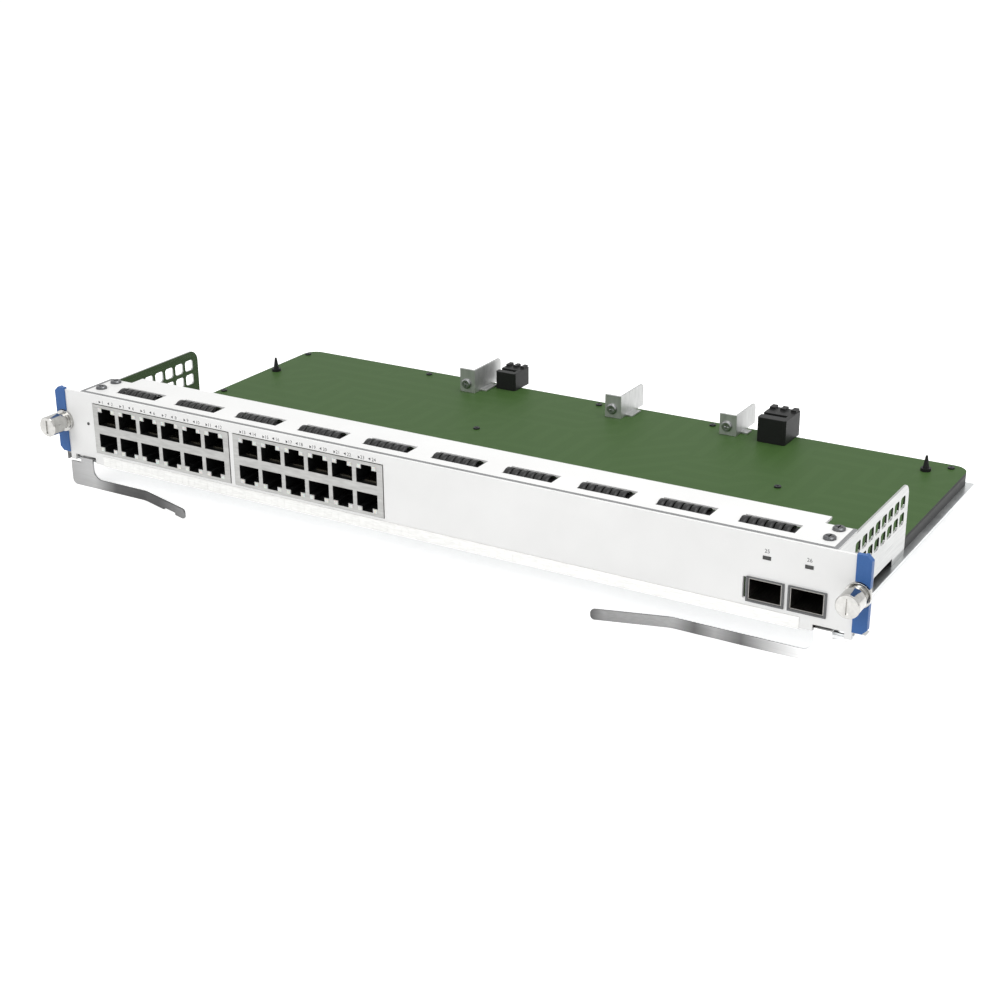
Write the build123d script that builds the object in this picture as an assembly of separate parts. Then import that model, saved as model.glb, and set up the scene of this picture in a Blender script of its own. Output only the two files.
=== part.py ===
from build123d import *
import os

# A switch line card: a low board carrying two blocks of stacked RJ45 jacks and two pluggable
# transceiver cages, behind a full-width faceplate with captive screws and ejector levers.
# Millimetres. X runs along the faceplate to the right, Y back into the chassis, Z up.
# The card is drawn standing on the lower edge of its faceplate, and saved about the middle of
# the faceplate's front face.

# Faceplate
CARD_WIDTH = 439.6
PANEL_HEIGHT = 38.0
PANEL_SHEET = 1.5
CORNER_NOTCH = 4.0
CAP_WALL = 0.8
CAP_FACE = 6.5
CAP_LIP = 3.4
CAP_BEVEL = 2.2
PANEL_HALF = CARD_WIDTH / 2 - CAP_WALL

# Frame behind the faceplate
EAR_WIDTH = 15.7
SIDE_SHEET = 1.0
SIDE_TOP_DROP = 1.6
SIDE_LENGTH = 92.5
SIDE_CORNER = 6.0
SIDE_OUTER = CARD_WIDTH / 2 - EAR_WIDTH
SIDE_INNER = SIDE_OUTER - SIDE_SHEET
VENT_COLUMNS = 8
VENT_PITCH_Y = 8.2
VENT_PITCH_Z = 8.0
VENT_LENGTH = 6.2
VENT_HEIGHT = 5.8
VENT_CORNER = 0.9
VENT_REAR_MARGIN = 7.5
VENT_TOP_MARGIN = 7.6
TAB_WIDTH = 10.5
SIDE_STEP_START = 52.0
SIDE_STEP_END = 76.0
SIDE_STEP_HEIGHT = 4.0

# Top flange with its contact springs and gasket, and the strip on the lower edge
FLANGE_SHEET = 1.2
FLANGE_DEPTH = 33.2
FLANGE_END_DEPTH = 25.0
FLANGE_END_LENGTH = 14.0
GASKET_WIDTH = 1.6
GASKET_RECESS = 0.6
GASKET_PROUD = 0.15
WINDOW_COUNT = 10
WINDOW_MARGIN = 26.2
WINDOW_PITCH = (2 * SIDE_OUTER - WINDOW_MARGIN) / WINDOW_COUNT
WINDOW_SHIFT = -1.5
WINDOW_LENGTH = 25.5
WINDOW_WIDTH = 9.5
WINDOW_FRONT = 8.6
CLIP_FINGERS = 6
CLIP_FINGER_GAP = 0.7
CLIP_FINGER_SPAN = 22.8
CLIP_SHEET = 0.25
CLIP_RISE = 1.0
CLIP_CLEARANCE = 0.15
CLIP_FACETS = 4
CLIP_RAIL = 0.8
STRIP_SHEET = 0.3
STRIP_HEIGHT = 5.2
STRIP_HOOK = 0.5
STRIP_MARGIN = 2.0

# Tray, rails and board
BOARD_SHEET = 1.6
BOARD_TOP = 8.0
BOARD_REAR = 197.0
BOARD_FRONT_GAP = 0.7
BOARD_SIDE_GAP = 0.35
BOARD_CORNER = 8.0
BOARD_UNDER = BOARD_TOP - BOARD_SHEET
BOARD_HALF = SIDE_INNER - BOARD_SIDE_GAP
BOARD_FRONT = PANEL_SHEET + BOARD_FRONT_GAP
TRAY_SHEET = 1.2
TRAY_RUNNER = 2.0
TRAY_REAR = BOARD_REAR - 2.5
TRAY_LIP_HEIGHT = 4.8
RAIL_WIDTH = 5.0
RAIL_FRONT = 96.0
RAIL_REAR = BOARD_REAR - 7.0
EDGE_SCREW_INSET = 3.45
REAR_SCREW_Y = BOARD_REAR - 5.5
# Screws through the board: along its edges, and some at a share of its half width
SCREW_SITES = [
    (EDGE_SCREW_INSET - BOARD_HALF, 108.7), (EDGE_SCREW_INSET - BOARD_HALF, BOARD_REAR - 8.5),
    (-0.564 * BOARD_HALF, REAR_SCREW_Y), (-0.205 * BOARD_HALF, 125.0), (-0.015 * BOARD_HALF, REAR_SCREW_Y),
    (0.322 * BOARD_HALF, REAR_SCREW_Y), (0.639 * BOARD_HALF, 125.0), (BOARD_HALF - 8.15, REAR_SCREW_Y),
]
STANDOFF_RADIUS = 2.6
BOARD_SCREW_RADIUS = 1.0
BOARD_SCREW_HEAD_RADIUS = 1.7
BOARD_SCREW_HEAD = 0.8
BOARD_SCREW_REACH = 4.6

# Jacks: two blocks of two rows
PORT_COLUMNS = 6
PORT_PITCH = 13.97
PORT_WIDTH = 11.7
PORT_HEIGHT = 7.2
PORT_DEPTH = 13.0
NOTCH_WIDTH = 6.0
NOTCH_HEIGHT = 2.2
CENTRE_BAR = 4.6
JACK_SIDE = 2.1
JACK_HEIGHT = 26.5
JACK_DROP = 1.3
JACK_DEPTH = 25.0
JACK_PROUD = 0.4
JACK_SHELL = 0.3
JACK_INSET = 25.0
JACK_SPACING = 2.9
JACK_CLEARANCE = 0.25
CONTACTS = 8
CONTACT_PITCH = 1.02
CONTACT_WIDTH = 0.46
CONTACT_SHEET = 0.4
CONTACT_FRONT = 3.5
CONTACT_RISE = 1.6
LIGHT_WIDTH = 2.0
LIGHT_HEIGHT = 1.8
LIGHT_GAP = 0.35
JACK_LEDGE = BOARD_FRONT - 0.2
JACK_WIDTH = PORT_COLUMNS * PORT_PITCH + 2 * JACK_SIDE
JACK_BOTTOM = BOARD_TOP - JACK_DROP
JACK_TOP = JACK_BOTTOM + JACK_HEIGHT
JACK_MIDDLE = (JACK_BOTTOM + JACK_TOP) / 2

# Transceiver cages
CAGE_WIDTH = 14.9
CAGE_HEIGHT = 9.8
CAGE_SHEET = 0.4
CAGE_DEPTH = 47.5
CAGE_PROUD = 0.4
CAGE_LIFT = 0.2
CAGE_CLEARANCE = 0.3
CAGE_INSET = 26.3
CAGE_PITCH = 18.5
CAGE_MIDDLES = [CARD_WIDTH / 2 - CAGE_INSET - CAGE_PITCH, CARD_WIDTH / 2 - CAGE_INSET]
COLLAR_BORDER = 0.9
COLLAR_TOP = 0.45
COLLAR_SHEET = 0.8
COLLAR_CLEARANCE = 0.05
SIDE_SLOT_WIDTH = 1.4
SOCKET_WIDTH = 11.0
SOCKET_HEIGHT = 6.4
SOCKET_DEPTH = 9.0
SOCKET_FRONT = 36.0
LIGHT_HOLE_RADIUS = 0.8
LIGHT_SLOT = 3.6
PORT_LIGHT_HEIGHT = 28.3
STATUS_LIGHT_X = 20.8 - CARD_WIDTH / 2
STATUS_LIGHT_HEIGHT = 21.6
LENS_LENGTH = 3.0

# Captive screws: the thread is thicker than the shank, so it can't pass back through the ferrule
SCREW_INSET = 4.8
SCREW_HEIGHT = 21.0
SHANK_RADIUS = 1.6
SHANK_CLEARANCE = 0.08
THREAD_RADIUS = 2.0
THREAD_GAP = 0.1
THREAD_LENGTH = 2.9
KNOB_RADIUS = 5.3
KNOB_FRONT = 13.5
KNOB_REAR = 5.7
KNOB_WALL = 1.1
KNOB_FACE = 1.5
KNOB_BEVEL = 0.5
KNOB_SLOT_WIDTH = 1.2
KNOB_SLOT_DEPTH = 0.8
KNOB_SLOT_REACH = 3.5
BARREL_RADIUS = 4.0
BARREL_BORE = 3.2
BARREL_FRONT = 7.8
FERRULE_RADIUS = 5.7
FERRULE_SHEET = 1.6
FERRULE_NECK = 3.3
FERRULE_TAIL = 2.0
FERRULE_TAIL_RADIUS = 4.5
SEAT_SHEET = 0.5
SEAT_RADIUS = 3.1
SPRING_WIRE = 0.5
SPRING_TURNS = 5
SPRING_RADIUS = 2.75

# Ejector levers, drawn for the right end and mirrored on the left
LEVER_SHEET = 1.0
LEVER_LIFT = 0.3
LEVER_PIVOT_X = CARD_WIDTH / 2 - 11.3
LEVER_PIVOT_Y = 5.0
LEVER_EYE = 3.4
NECK_INNER = LEVER_PIVOT_X - 11.0
NECK_WIDTH = 8.0
NECK_OUTER = NECK_INNER + NECK_WIDTH
PLATE_WIDTH = 15.0
HOOK_LENGTH = 10.1
HOOK_WIDTH = 5.0
HOOK_LIP = 3.2
FACE_GAP = 0.4
PLATE_BOTTOM = -13.3
RIBBON_HEIGHT = 5.1
PLATE_CORNER = 3.0
NECK_SWEEP = 5.0
LEFT_RUN = 34.5
RIGHT_RUN = 64.5
TIP_LENGTH = 34.0
TIP_OUT = 9.8
TIP_BEND_RADIUS = 14.0
TIP_CORNER = 2.0
HEM_START = 14.0
HEM_REACH = 1.6
HEM_SHEET = 0.8
NOTCH_FROM_TIP = 8.0
TIP_NOTCH_LENGTH = 10.0
TIP_NOTCH_HEIGHT = 1.1
RIVET_RADIUS = 1.9
RIVET_CLEARANCE = 0.05
RIVET_HEAD_RADIUS = 2.8
RIVET_HEAD = 0.8
SLOT_SIDE_GAP = 4.6
SLOT_INNER_GAP = 1.2
SLOT_HEADROOM = 0.7
EAR_MARGIN = 1.4

# Rear pieces
# Each bracket: middle of its tab in X, front, rear, height above the board
BRACKETS = [
    (-78.0, BOARD_REAR - 22.0, BOARD_REAR + 7.0, 13.6), (13.2, BOARD_REAR - 20.5, BOARD_REAR + 7.0, 12.8),
    (78.2, BOARD_REAR - 15.5, BOARD_REAR + 10.0, 11.6),
]
BRACKET_WIDTH = 9.6
BRACKET_SHEET = 1.0
BRACKET_FOOT = 4.0
BRACKET_SCREW_HEIGHT = 5.0
BRACKET_CORNER = 3.0
# Each guide module: left, right, front, rear, height above the board, start of its top slot
GUIDES = [
    (-68.0, -55.3, BOARD_REAR - 8.0, BOARD_REAR + 8.0, 10.2, BOARD_REAR - 4.0),
    (94.8, 110.6, BOARD_REAR - 16.7, BOARD_REAR + 3.5, 13.5, BOARD_REAR - 11.0),
]
GUIDE_BORE = 3.0
GUIDE_BORE_DEPTH = 9.0
GUIDE_RIB = 1.2
POST_SITES = [(6.45 - BOARD_HALF, BOARD_REAR - 43.7), (BOARD_HALF - 18.25, BOARD_REAR - 14.5)]
POST_HEIGHT = 8.0
POST_FOOT_RADIUS = 2.6
POST_FOOT = 1.6
POST_RADIUS = 1.6
POST_TIP_RADIUS = 0.6
BACKPLANE_MIDDLES = [-0.7743 * BOARD_HALF, -0.2861 * BOARD_HALF, 0.6412 * BOARD_HALF]
BACKPLANE_WIDTH = 48.0
BACKPLANE_DEPTH = 13.0
BACKPLANE_PROUD = 2.5
BACKPLANE_SLOTS = 8
BACKPLANE_SLOT_HALF = 1.6
BACKPLANE_SLOT_HEIGHT = 2.2
BACKPLANE_SLOT_DEPTH = 6.0

# Parts on the board behind the flange
SWITCH_CHIP_X = 62.0
SWITCH_CHIP_Y = 58.0
SWITCH_CHIP_SIDE = 31.0
SWITCH_CHIP_HEIGHT = 2.2
SINK_SIDE = 36.0
SINK_BASE = 1.6
SINK_FIN_HEIGHT = 4.4
SINK_FINS = 9
SINK_FIN_SHEET = 1.2
PHY_SIDE = 14.0
PHY_HEIGHT = 1.2
PHY_Y = 44.0

# Standard small screws
PAN_HEAD_RADIUS = 2.8
PAN_HEAD = 1.3
PAN_SHANK_RADIUS = 1.5
PAN_RECESS_WIDTH = 0.6
PAN_RECESS_DEPTH = 0.6
PAN_BEVEL = 0.5
FLANGE_SCREW_X = SIDE_INNER - 5.5
FLANGE_SCREW_YS = [10.4, 21.2]

os.makedirs("parts", exist_ok=True)


def save(name, solids):
    """Writes one node, set about the middle of the faceplate's front face."""
    solids = solids if isinstance(solids, list) else [solids]
    placed = [Pos(0, 0, -PANEL_HEIGHT / 2) * solid for one in solids for solid in one.solids()]
    shape = placed[0] if len(placed) == 1 else Compound(children=placed)
    export_step(shape, f"parts/{name}.step")


def block(x0, x1, y0, y1, z0, z1):
    """A box from one corner to the other."""
    return Pos((x0 + x1) / 2, (y0 + y1) / 2, (z0 + z1) / 2) * Box(x1 - x0, y1 - y0, z1 - z0)


def upright(x, y, z0, z1, radius):
    """A round rod standing between two heights."""
    return Pos(x, y, (z0 + z1) / 2) * Cylinder(radius, z1 - z0)


def rod_back(x, z, y0, y1, radius):
    """A round rod lying along Y."""
    return Pos(x, (y0 + y1) / 2, z) * Rot(90, 0, 0) * Cylinder(radius, y1 - y0)


def mirrored(shape):
    """The same piece for the other end of the card."""
    return mirror(shape, about=Plane.YZ)


def window_middles():
    first = WINDOW_SHIFT - (WINDOW_COUNT - 1) / 2 * WINDOW_PITCH
    return [first + i * WINDOW_PITCH for i in range(WINDOW_COUNT)]


def jack_middles():
    first = -CARD_WIDTH / 2 + JACK_INSET + JACK_WIDTH / 2
    return [first, first + JACK_WIDTH + JACK_SPACING]


def port_middles(middle):
    return [middle + (i - (PORT_COLUMNS - 1) / 2) * PORT_PITCH for i in range(PORT_COLUMNS)]


def cage_heights():
    bottom = BOARD_TOP + CAGE_LIFT
    return bottom, bottom + CAGE_HEIGHT


def lever_heights():
    bottom = TRAY_SHEET + LEVER_LIFT
    return bottom, bottom + LEVER_SHEET


# Faceplate: one painted sheet with every opening cut in it.

def make_blank():
    """The faceplate's outline: notched lower corners, and bevels where the end caps have theirs."""
    inner = CARD_WIDTH / 2 - CAP_FACE
    blank = block(-PANEL_HALF, PANEL_HALF, 0, PANEL_SHEET, 0, PANEL_HEIGHT)
    for side in (-1, 1):
        x0, x1 = sorted((side * inner, side * (PANEL_HALF + 1)))
        blank -= block(x0, x1, -1, PANEL_SHEET + 1, -1, CORNER_NOTCH + CAP_WALL)
    ends = blank.edges().filter_by(Axis.Y)
    tips = ends.group_by(Axis.X)[0] + ends.group_by(Axis.X)[-1]
    return chamfer(tips, CAP_BEVEL - CAP_WALL * 0.5)


def make_faceplate():
    plate = make_blank()
    cut_end = PANEL_SHEET + 1
    for middle in jack_middles():
        half = JACK_WIDTH / 2 + JACK_CLEARANCE
        low, high = JACK_BOTTOM - JACK_CLEARANCE, JACK_TOP + JACK_CLEARANCE
        plate -= block(middle - half, middle + half, -1, cut_end, low, high)
    low, high = cage_heights()
    for middle in CAGE_MIDDLES:
        half, gap = CAGE_WIDTH / 2 + CAGE_CLEARANCE, CAGE_CLEARANCE
        plate -= block(middle - half, middle + half, -1, cut_end, low - gap, high + gap)
        plate -= block(
            middle - LIGHT_SLOT / 2, middle + LIGHT_SLOT / 2, -1, cut_end,
            PORT_LIGHT_HEIGHT - LIGHT_HOLE_RADIUS, PORT_LIGHT_HEIGHT + LIGHT_HOLE_RADIUS,
        )
    slot_right = CAGE_MIDDLES[0] - CAGE_WIDTH / 2 - COLLAR_BORDER - COLLAR_CLEARANCE - 0.4
    plate -= block(slot_right - SIDE_SLOT_WIDTH, slot_right, -1, cut_end, low, high)
    plate -= rod_back(STATUS_LIGHT_X, STATUS_LIGHT_HEIGHT, -1, cut_end, LIGHT_HOLE_RADIUS)
    arm_top = lever_heights()[1]
    for side in (-1, 1):
        x0, x1 = sorted((side * (NECK_INNER - SLOT_INNER_GAP), side * (NECK_OUTER + SLOT_SIDE_GAP)))
        plate -= block(x0, x1, -1, cut_end, 0, arm_top + SLOT_HEADROOM)
        plate -= rod_back(side * screw_x(), SCREW_HEIGHT, -1, cut_end, FERRULE_NECK)
    return plate


# Blue end caps: thin mouldings that wrap round each end of the faceplate, above and below the
# captive screw.

def screw_x():
    return CARD_WIDTH / 2 - SCREW_INSET


def make_end_cap(upper):
    outer = CARD_WIDTH / 2
    inner = outer - CAP_FACE
    top = PANEL_HEIGHT + CAP_WALL if upper else SCREW_HEIGHT
    bottom = SCREW_HEIGHT if upper else CORNER_NOTCH
    cap = block(inner, outer, -CAP_WALL, PANEL_SHEET + CAP_WALL, bottom, top)
    far = top if upper else bottom
    corner = cap.edges().filter_by(Axis.Y).filter_by_position(Axis.X, outer - 0.01, outer + 0.01)
    corner = corner.filter_by_position(Axis.Z, far - 0.01, far + 0.01)
    cap = chamfer(corner, CAP_BEVEL)
    cap -= make_blank()
    cap -= block(inner - 1, outer - CAP_LIP, PANEL_SHEET, PANEL_SHEET + 2, 0, top + 1)
    return cap - rod_back(screw_x(), SCREW_HEIGHT, -3, PANEL_SHEET + 3, FERRULE_RADIUS + 0.2)


# Top flange: a sheet welded behind the faceplate's upper edge, with windows for the springs.

def make_top_flange():
    base = PANEL_HEIGHT - FLANGE_SHEET
    sheet = block(-SIDE_OUTER, SIDE_OUTER, PANEL_SHEET, FLANGE_DEPTH, base, PANEL_HEIGHT)
    for side in (-1, 1):
        x0, x1 = sorted((side * (SIDE_OUTER - FLANGE_END_LENGTH), side * (SIDE_OUTER + 1)))
        sheet -= block(x0, x1, FLANGE_END_DEPTH, FLANGE_DEPTH + 1, base - 1, PANEL_HEIGHT + 1)
    sheet -= gasket_run(PANEL_HEIGHT - GASKET_RECESS, PANEL_HEIGHT + 1)
    for middle in window_middles():
        half = WINDOW_LENGTH / 2
        back = WINDOW_FRONT + WINDOW_WIDTH
        sheet -= block(middle - half, middle + half, WINDOW_FRONT, back, base - 1, PANEL_HEIGHT + 1)
    for x in (-FLANGE_SCREW_X, FLANGE_SCREW_X):
        for y in FLANGE_SCREW_YS:
            sheet -= upright(x, y, base - 1, PANEL_HEIGHT + 1, PAN_SHANK_RADIUS)
    return sheet


def gasket_run(z0, z1):
    """The recess along the flange's front edge and back along both its ends."""
    run = block(-SIDE_OUTER, SIDE_OUTER, PANEL_SHEET, PANEL_SHEET + GASKET_WIDTH, z0, z1)
    for side in (-1, 1):
        x0, x1 = sorted((side * (SIDE_OUTER - GASKET_WIDTH), side * SIDE_OUTER))
        run += block(x0, x1, PANEL_SHEET, FLANGE_END_DEPTH, z0, z1)
    return run


def make_top_gasket():
    return gasket_run(PANEL_HEIGHT - GASKET_RECESS, PANEL_HEIGHT + GASKET_PROUD)


def facing_x(x, profile, width):
    """Extrudes a (y, z) outline along X, from x on."""
    plane = Plane(origin=(x, 0, 0), x_dir=(0, 1, 0), z_dir=(1, 0, 0))
    return extrude(plane * make_face(Polyline(*profile, close=True)), amount=width)


def arch(front, back, low, crown):
    """Points of a shallow arch from front to back, in a few flats."""
    shares = [i / CLIP_FACETS for i in range(CLIP_FACETS + 1)]
    return [(front + (back - front) * s, low + (crown - low) * 4 * s * (1 - s)) for s in shares]


def make_contact_spring(middle):
    """A clip-on strip of arched fingers that fills one window of the flange."""
    front = WINDOW_FRONT + CLIP_CLEARANCE
    back = WINDOW_FRONT + WINDOW_WIDTH - CLIP_CLEARANCE
    low = PANEL_HEIGHT - FLANGE_SHEET + 0.1
    crown = PANEL_HEIGHT + CLIP_RISE
    left = middle - WINDOW_LENGTH / 2 + CLIP_CLEARANCE
    right = middle + WINDOW_LENGTH / 2 - CLIP_CLEARANCE
    outer = arch(front, back, low, crown)
    inner = arch(front + CLIP_SHEET * 2, back - CLIP_SHEET * 2, low, crown - CLIP_SHEET)
    pitch = (CLIP_FINGER_SPAN + CLIP_FINGER_GAP) / CLIP_FINGERS
    clip = block(left, right, front, front + CLIP_RAIL, low - CLIP_SHEET, low)
    clip += block(left, right, back - CLIP_RAIL, back, low - CLIP_SHEET, low)
    for i in range(CLIP_FINGERS):
        clip += facing_x(left + i * pitch, outer + inner[::-1], pitch - CLIP_FINGER_GAP)
    return clip


def make_bottom_gasket():
    """A contact strip on the foot of the faceplate, hooked under its lower edge."""
    half = SIDE_INNER - TAB_WIDTH - STRIP_MARGIN
    strip = block(-half, half, -STRIP_SHEET, 0, -STRIP_SHEET, STRIP_HEIGHT)
    return strip + block(-half, half, 0, STRIP_HOOK, -STRIP_SHEET, 0)


# Side plates: perforated, with tabs folded in under the flange and behind the faceplate.

def make_side_plate():
    top = PANEL_HEIGHT - SIDE_TOP_DROP
    arm_clear = lever_heights()[1] + 1.5
    wall = block(SIDE_INNER, SIDE_OUTER, PANEL_SHEET, SIDE_LENGTH, TRAY_SHEET, top)
    corner = wall.edges().filter_by(Axis.X).group_by(Axis.Z)[-1].group_by(Axis.Y)[-1]
    wall = fillet(corner, SIDE_CORNER)
    wall -= block(SIDE_INNER - 1, SIDE_OUTER + 1, 0, 16.0, 0, arm_clear)
    wall -= block(
        SIDE_INNER - 1, SIDE_OUTER + 1, SIDE_STEP_START, SIDE_STEP_END, 0, TRAY_SHEET + SIDE_STEP_HEIGHT)
    last = SIDE_LENGTH - VENT_REAR_MARGIN
    outline = Rectangle(VENT_LENGTH, VENT_HEIGHT)
    hole = extrude(Plane.YZ * chamfer(outline.vertices(), VENT_CORNER), amount=4)
    for column in range(VENT_COLUMNS):
        for row in range(2):
            y = last - column * VENT_PITCH_Y
            z = top - VENT_TOP_MARGIN - row * VENT_PITCH_Z
            wall -= Pos(SIDE_INNER - 2, y, z) * hole
    under_flange = PANEL_HEIGHT - FLANGE_SHEET
    tab = block(SIDE_INNER - TAB_WIDTH, SIDE_INNER, 5.0, FLANGE_END_DEPTH, top - SIDE_SHEET, top)
    tab += block(SIDE_INNER - 1.5, SIDE_OUTER, 5.0, FLANGE_END_DEPTH, top - 0.1, under_flange)
    for y in FLANGE_SCREW_YS:
        tab -= upright(FLANGE_SCREW_X, y, top - 3, top + 1, PAN_SHANK_RADIUS)
    front = block(SIDE_INNER - 0.9, SIDE_INNER, PANEL_SHEET, 5.0, 18.0, top - 2)
    return wall + tab + front


# Tray: the sheet under the board, with a front lip, runners for the card guides and lever ears.

def make_tray():
    half = SIDE_OUTER + TRAY_RUNNER
    tray = block(-half, half, PANEL_SHEET, TRAY_REAR, 0, TRAY_SHEET)
    lip_half = NECK_INNER - SLOT_INNER_GAP - 2
    tray += block(-lip_half, lip_half, PANEL_SHEET, PANEL_SHEET + TRAY_SHEET * 0.5, 0, TRAY_LIP_HEIGHT)
    for side in (-1, 1):
        ear = LEVER_PIVOT_X + LEVER_EYE + EAR_MARGIN
        x0, x1 = sorted((side * SIDE_INNER, side * ear))
        tray += block(x0, x1, PANEL_SHEET, LEVER_PIVOT_Y + LEVER_EYE + EAR_MARGIN, 0, TRAY_SHEET)
        tray -= upright(side * LEVER_PIVOT_X, LEVER_PIVOT_Y, -1, TRAY_SHEET + 1, RIVET_RADIUS)
    return tray


def make_side_rail(side):
    """A bar between tray and board; the board's screws near that edge run down into it."""
    x0, x1 = sorted((side * (BOARD_HALF - RAIL_WIDTH), side * BOARD_HALF))
    rail = block(x0, x1, RAIL_FRONT, RAIL_REAR, TRAY_SHEET, BOARD_UNDER)
    for x, y in SCREW_SITES:
        if x0 < x < x1:
            rail -= upright(x, y, BOARD_TOP - BOARD_SCREW_REACH, BOARD_UNDER + 1, BOARD_SCREW_RADIUS)
    return rail


# Board with its screws and standoffs.

def make_board():
    board = block(-BOARD_HALF, BOARD_HALF, BOARD_FRONT, BOARD_REAR, BOARD_UNDER, BOARD_TOP)
    rear = board.edges().filter_by(Axis.Z).group_by(Axis.Y)[-1]
    board = fillet(rear, BOARD_CORNER)
    for x, y in SCREW_SITES:
        board -= upright(x, y, BOARD_UNDER - 1, BOARD_TOP + 1, BOARD_SCREW_RADIUS)
    return board


def make_board_screw(x, y):
    top = BOARD_TOP + BOARD_SCREW_HEAD
    head = upright(x, y, BOARD_TOP, top, BOARD_SCREW_HEAD_RADIUS)
    shank = upright(x, y, BOARD_TOP - BOARD_SCREW_REACH, BOARD_TOP, BOARD_SCREW_RADIUS)
    cross = block(x - 0.9, x + 0.9, y - 0.2, y + 0.2, top - 0.4, top + 1)
    cross += block(x - 0.2, x + 0.2, y - 0.9, y + 0.9, top - 0.4, top + 1)
    return head + shank - cross


def make_standoff(x, y):
    """A hexagonal pillar with a blind hole for its screw."""
    pillar = Pos(x, y, TRAY_SHEET) * extrude(RegularPolygon(STANDOFF_RADIUS, 6), BOARD_UNDER - TRAY_SHEET)
    return pillar - upright(x, y, BOARD_TOP - BOARD_SCREW_REACH, BOARD_UNDER + 1, BOARD_SCREW_RADIUS)


# Jacks: a moulded body with sockets back to back, a plated shell, gold contacts and light pipes.

def socket_boxes(x, y0, y1, up, grow=0.0):
    """A plug-shaped hollow: the wide part and the latch notch, latch up or down."""
    sign = 1 if up else -1
    near = JACK_MIDDLE + sign * (CENTRE_BAR / 2 - grow)
    far = JACK_MIDDLE + sign * (CENTRE_BAR / 2 + PORT_HEIGHT + grow)
    notch = far + sign * NOTCH_HEIGHT
    half = PORT_WIDTH / 2 + grow
    notch_half = NOTCH_WIDTH / 2 + grow
    wide = block(x - half, x + half, y0, y1, min(near, far), max(near, far))
    return wide + block(x - notch_half, x + notch_half, y0, y1, min(near, notch), max(near, notch))


def light_box(x, up, side, y0, y1, grow=0.0):
    sign = 1 if up else -1
    z = JACK_MIDDLE + sign * (CENTRE_BAR / 2 + PORT_HEIGHT + LIGHT_GAP + LIGHT_HEIGHT / 2)
    reach = side * (NOTCH_WIDTH / 2 + LIGHT_GAP + LIGHT_WIDTH / 2)
    half, tall = LIGHT_WIDTH / 2 + grow, LIGHT_HEIGHT / 2 + grow
    return block(x + reach - half, x + reach + half, y0, y1, z - tall, z + tall)


def make_jack_body(middle):
    half = JACK_WIDTH / 2 - JACK_SHELL
    back = JACK_DEPTH - JACK_PROUD - JACK_SHELL
    body = block(middle - half, middle + half, 0, back, BOARD_TOP, JACK_TOP - JACK_SHELL)
    body += block(middle - half, middle + half, 0, JACK_LEDGE, JACK_BOTTOM + JACK_SHELL, BOARD_TOP)
    for x in port_middles(middle):
        for up in (True, False):
            body -= socket_boxes(x, -1, PORT_DEPTH, up)
            for side in (-1, 1):
                body -= light_box(x, up, side, -1, PORT_DEPTH)
    return body


def make_jack_shell(middle):
    half = JACK_WIDTH / 2
    back = JACK_DEPTH - JACK_PROUD
    shell = block(middle - half, middle + half, -JACK_PROUD, back, BOARD_TOP, JACK_TOP)
    shell += block(middle - half, middle + half, -JACK_PROUD, JACK_LEDGE, JACK_BOTTOM, BOARD_TOP)
    inner = half - JACK_SHELL
    roof = JACK_TOP - JACK_SHELL
    shell -= block(middle - inner, middle + inner, 0, back - JACK_SHELL, BOARD_TOP - 0.01, roof)
    shell -= block(middle - inner, middle + inner, 0, BOARD_FRONT, JACK_BOTTOM + JACK_SHELL, roof)
    for x in port_middles(middle):
        for up in (True, False):
            shell -= socket_boxes(x, -1, 0.5, up)
            for side in (-1, 1):
                shell -= light_box(x, up, side, -1, 0.5)
    return shell


def make_light_pipes(middle):
    pipes = []
    for x in port_middles(middle):
        for up in (True, False):
            for side in (-1, 1):
                pipes.append(light_box(x, up, side, -JACK_PROUD - 0.1, PORT_DEPTH))
    return pipes


def make_contacts(middle):
    """Eight sprung wires in each socket, opposite its latch."""
    wires = []
    for x in port_middles(middle):
        for sign in (1, -1):
            seat = JACK_MIDDLE + sign * CENTRE_BAR / 2
            run = [
                (CONTACT_FRONT, seat), (PORT_DEPTH, seat + sign * CONTACT_RISE),
                (PORT_DEPTH, seat + sign * (CONTACT_RISE + CONTACT_SHEET)),
                (CONTACT_FRONT, seat + sign * CONTACT_SHEET),
            ]
            for i in range(CONTACTS):
                left = x + (i - (CONTACTS - 1) / 2) * CONTACT_PITCH - CONTACT_WIDTH / 2
                wires.append(facing_x(left, run, CONTACT_WIDTH))
    return wires


# Transceiver cages with their front collars and edge sockets.

def make_cage(middle):
    low, high = cage_heights()
    half = CAGE_WIDTH / 2
    back = CAGE_DEPTH - CAGE_PROUD
    cage = block(middle - half, middle + half, -CAGE_PROUD, back, low, high)
    inner = half - CAGE_SHEET
    floor, roof = low + CAGE_SHEET, high - CAGE_SHEET
    cage -= block(middle - inner, middle + inner, -CAGE_PROUD - 1, back - CAGE_SHEET, floor, roof)
    gap = SOCKET_WIDTH / 2 + 0.3
    cage -= block(middle - gap, middle + gap, SOCKET_FRONT - 0.3, back - CAGE_SHEET, low - 1, low + 1)
    for side in (-1, 1):
        for y in (8.0, 24.0, 42.0):
            x0, x1 = sorted((middle + side * half, middle + side * inner))
            cage += block(x0, x1, y - 0.5, y + 0.5, BOARD_TOP, low)
    return cage


def make_collar(middle):
    low, high = cage_heights()
    half, border = CAGE_WIDTH / 2 + COLLAR_CLEARANCE, COLLAR_BORDER
    frame = block(
        middle - half - border, middle + half + border, -COLLAR_SHEET, 0,
        low - COLLAR_CLEARANCE - border, high + COLLAR_CLEARANCE + COLLAR_TOP)
    return frame - block(
        middle - half, middle + half, -2, 1, low - COLLAR_CLEARANCE, high + COLLAR_CLEARANCE)


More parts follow.
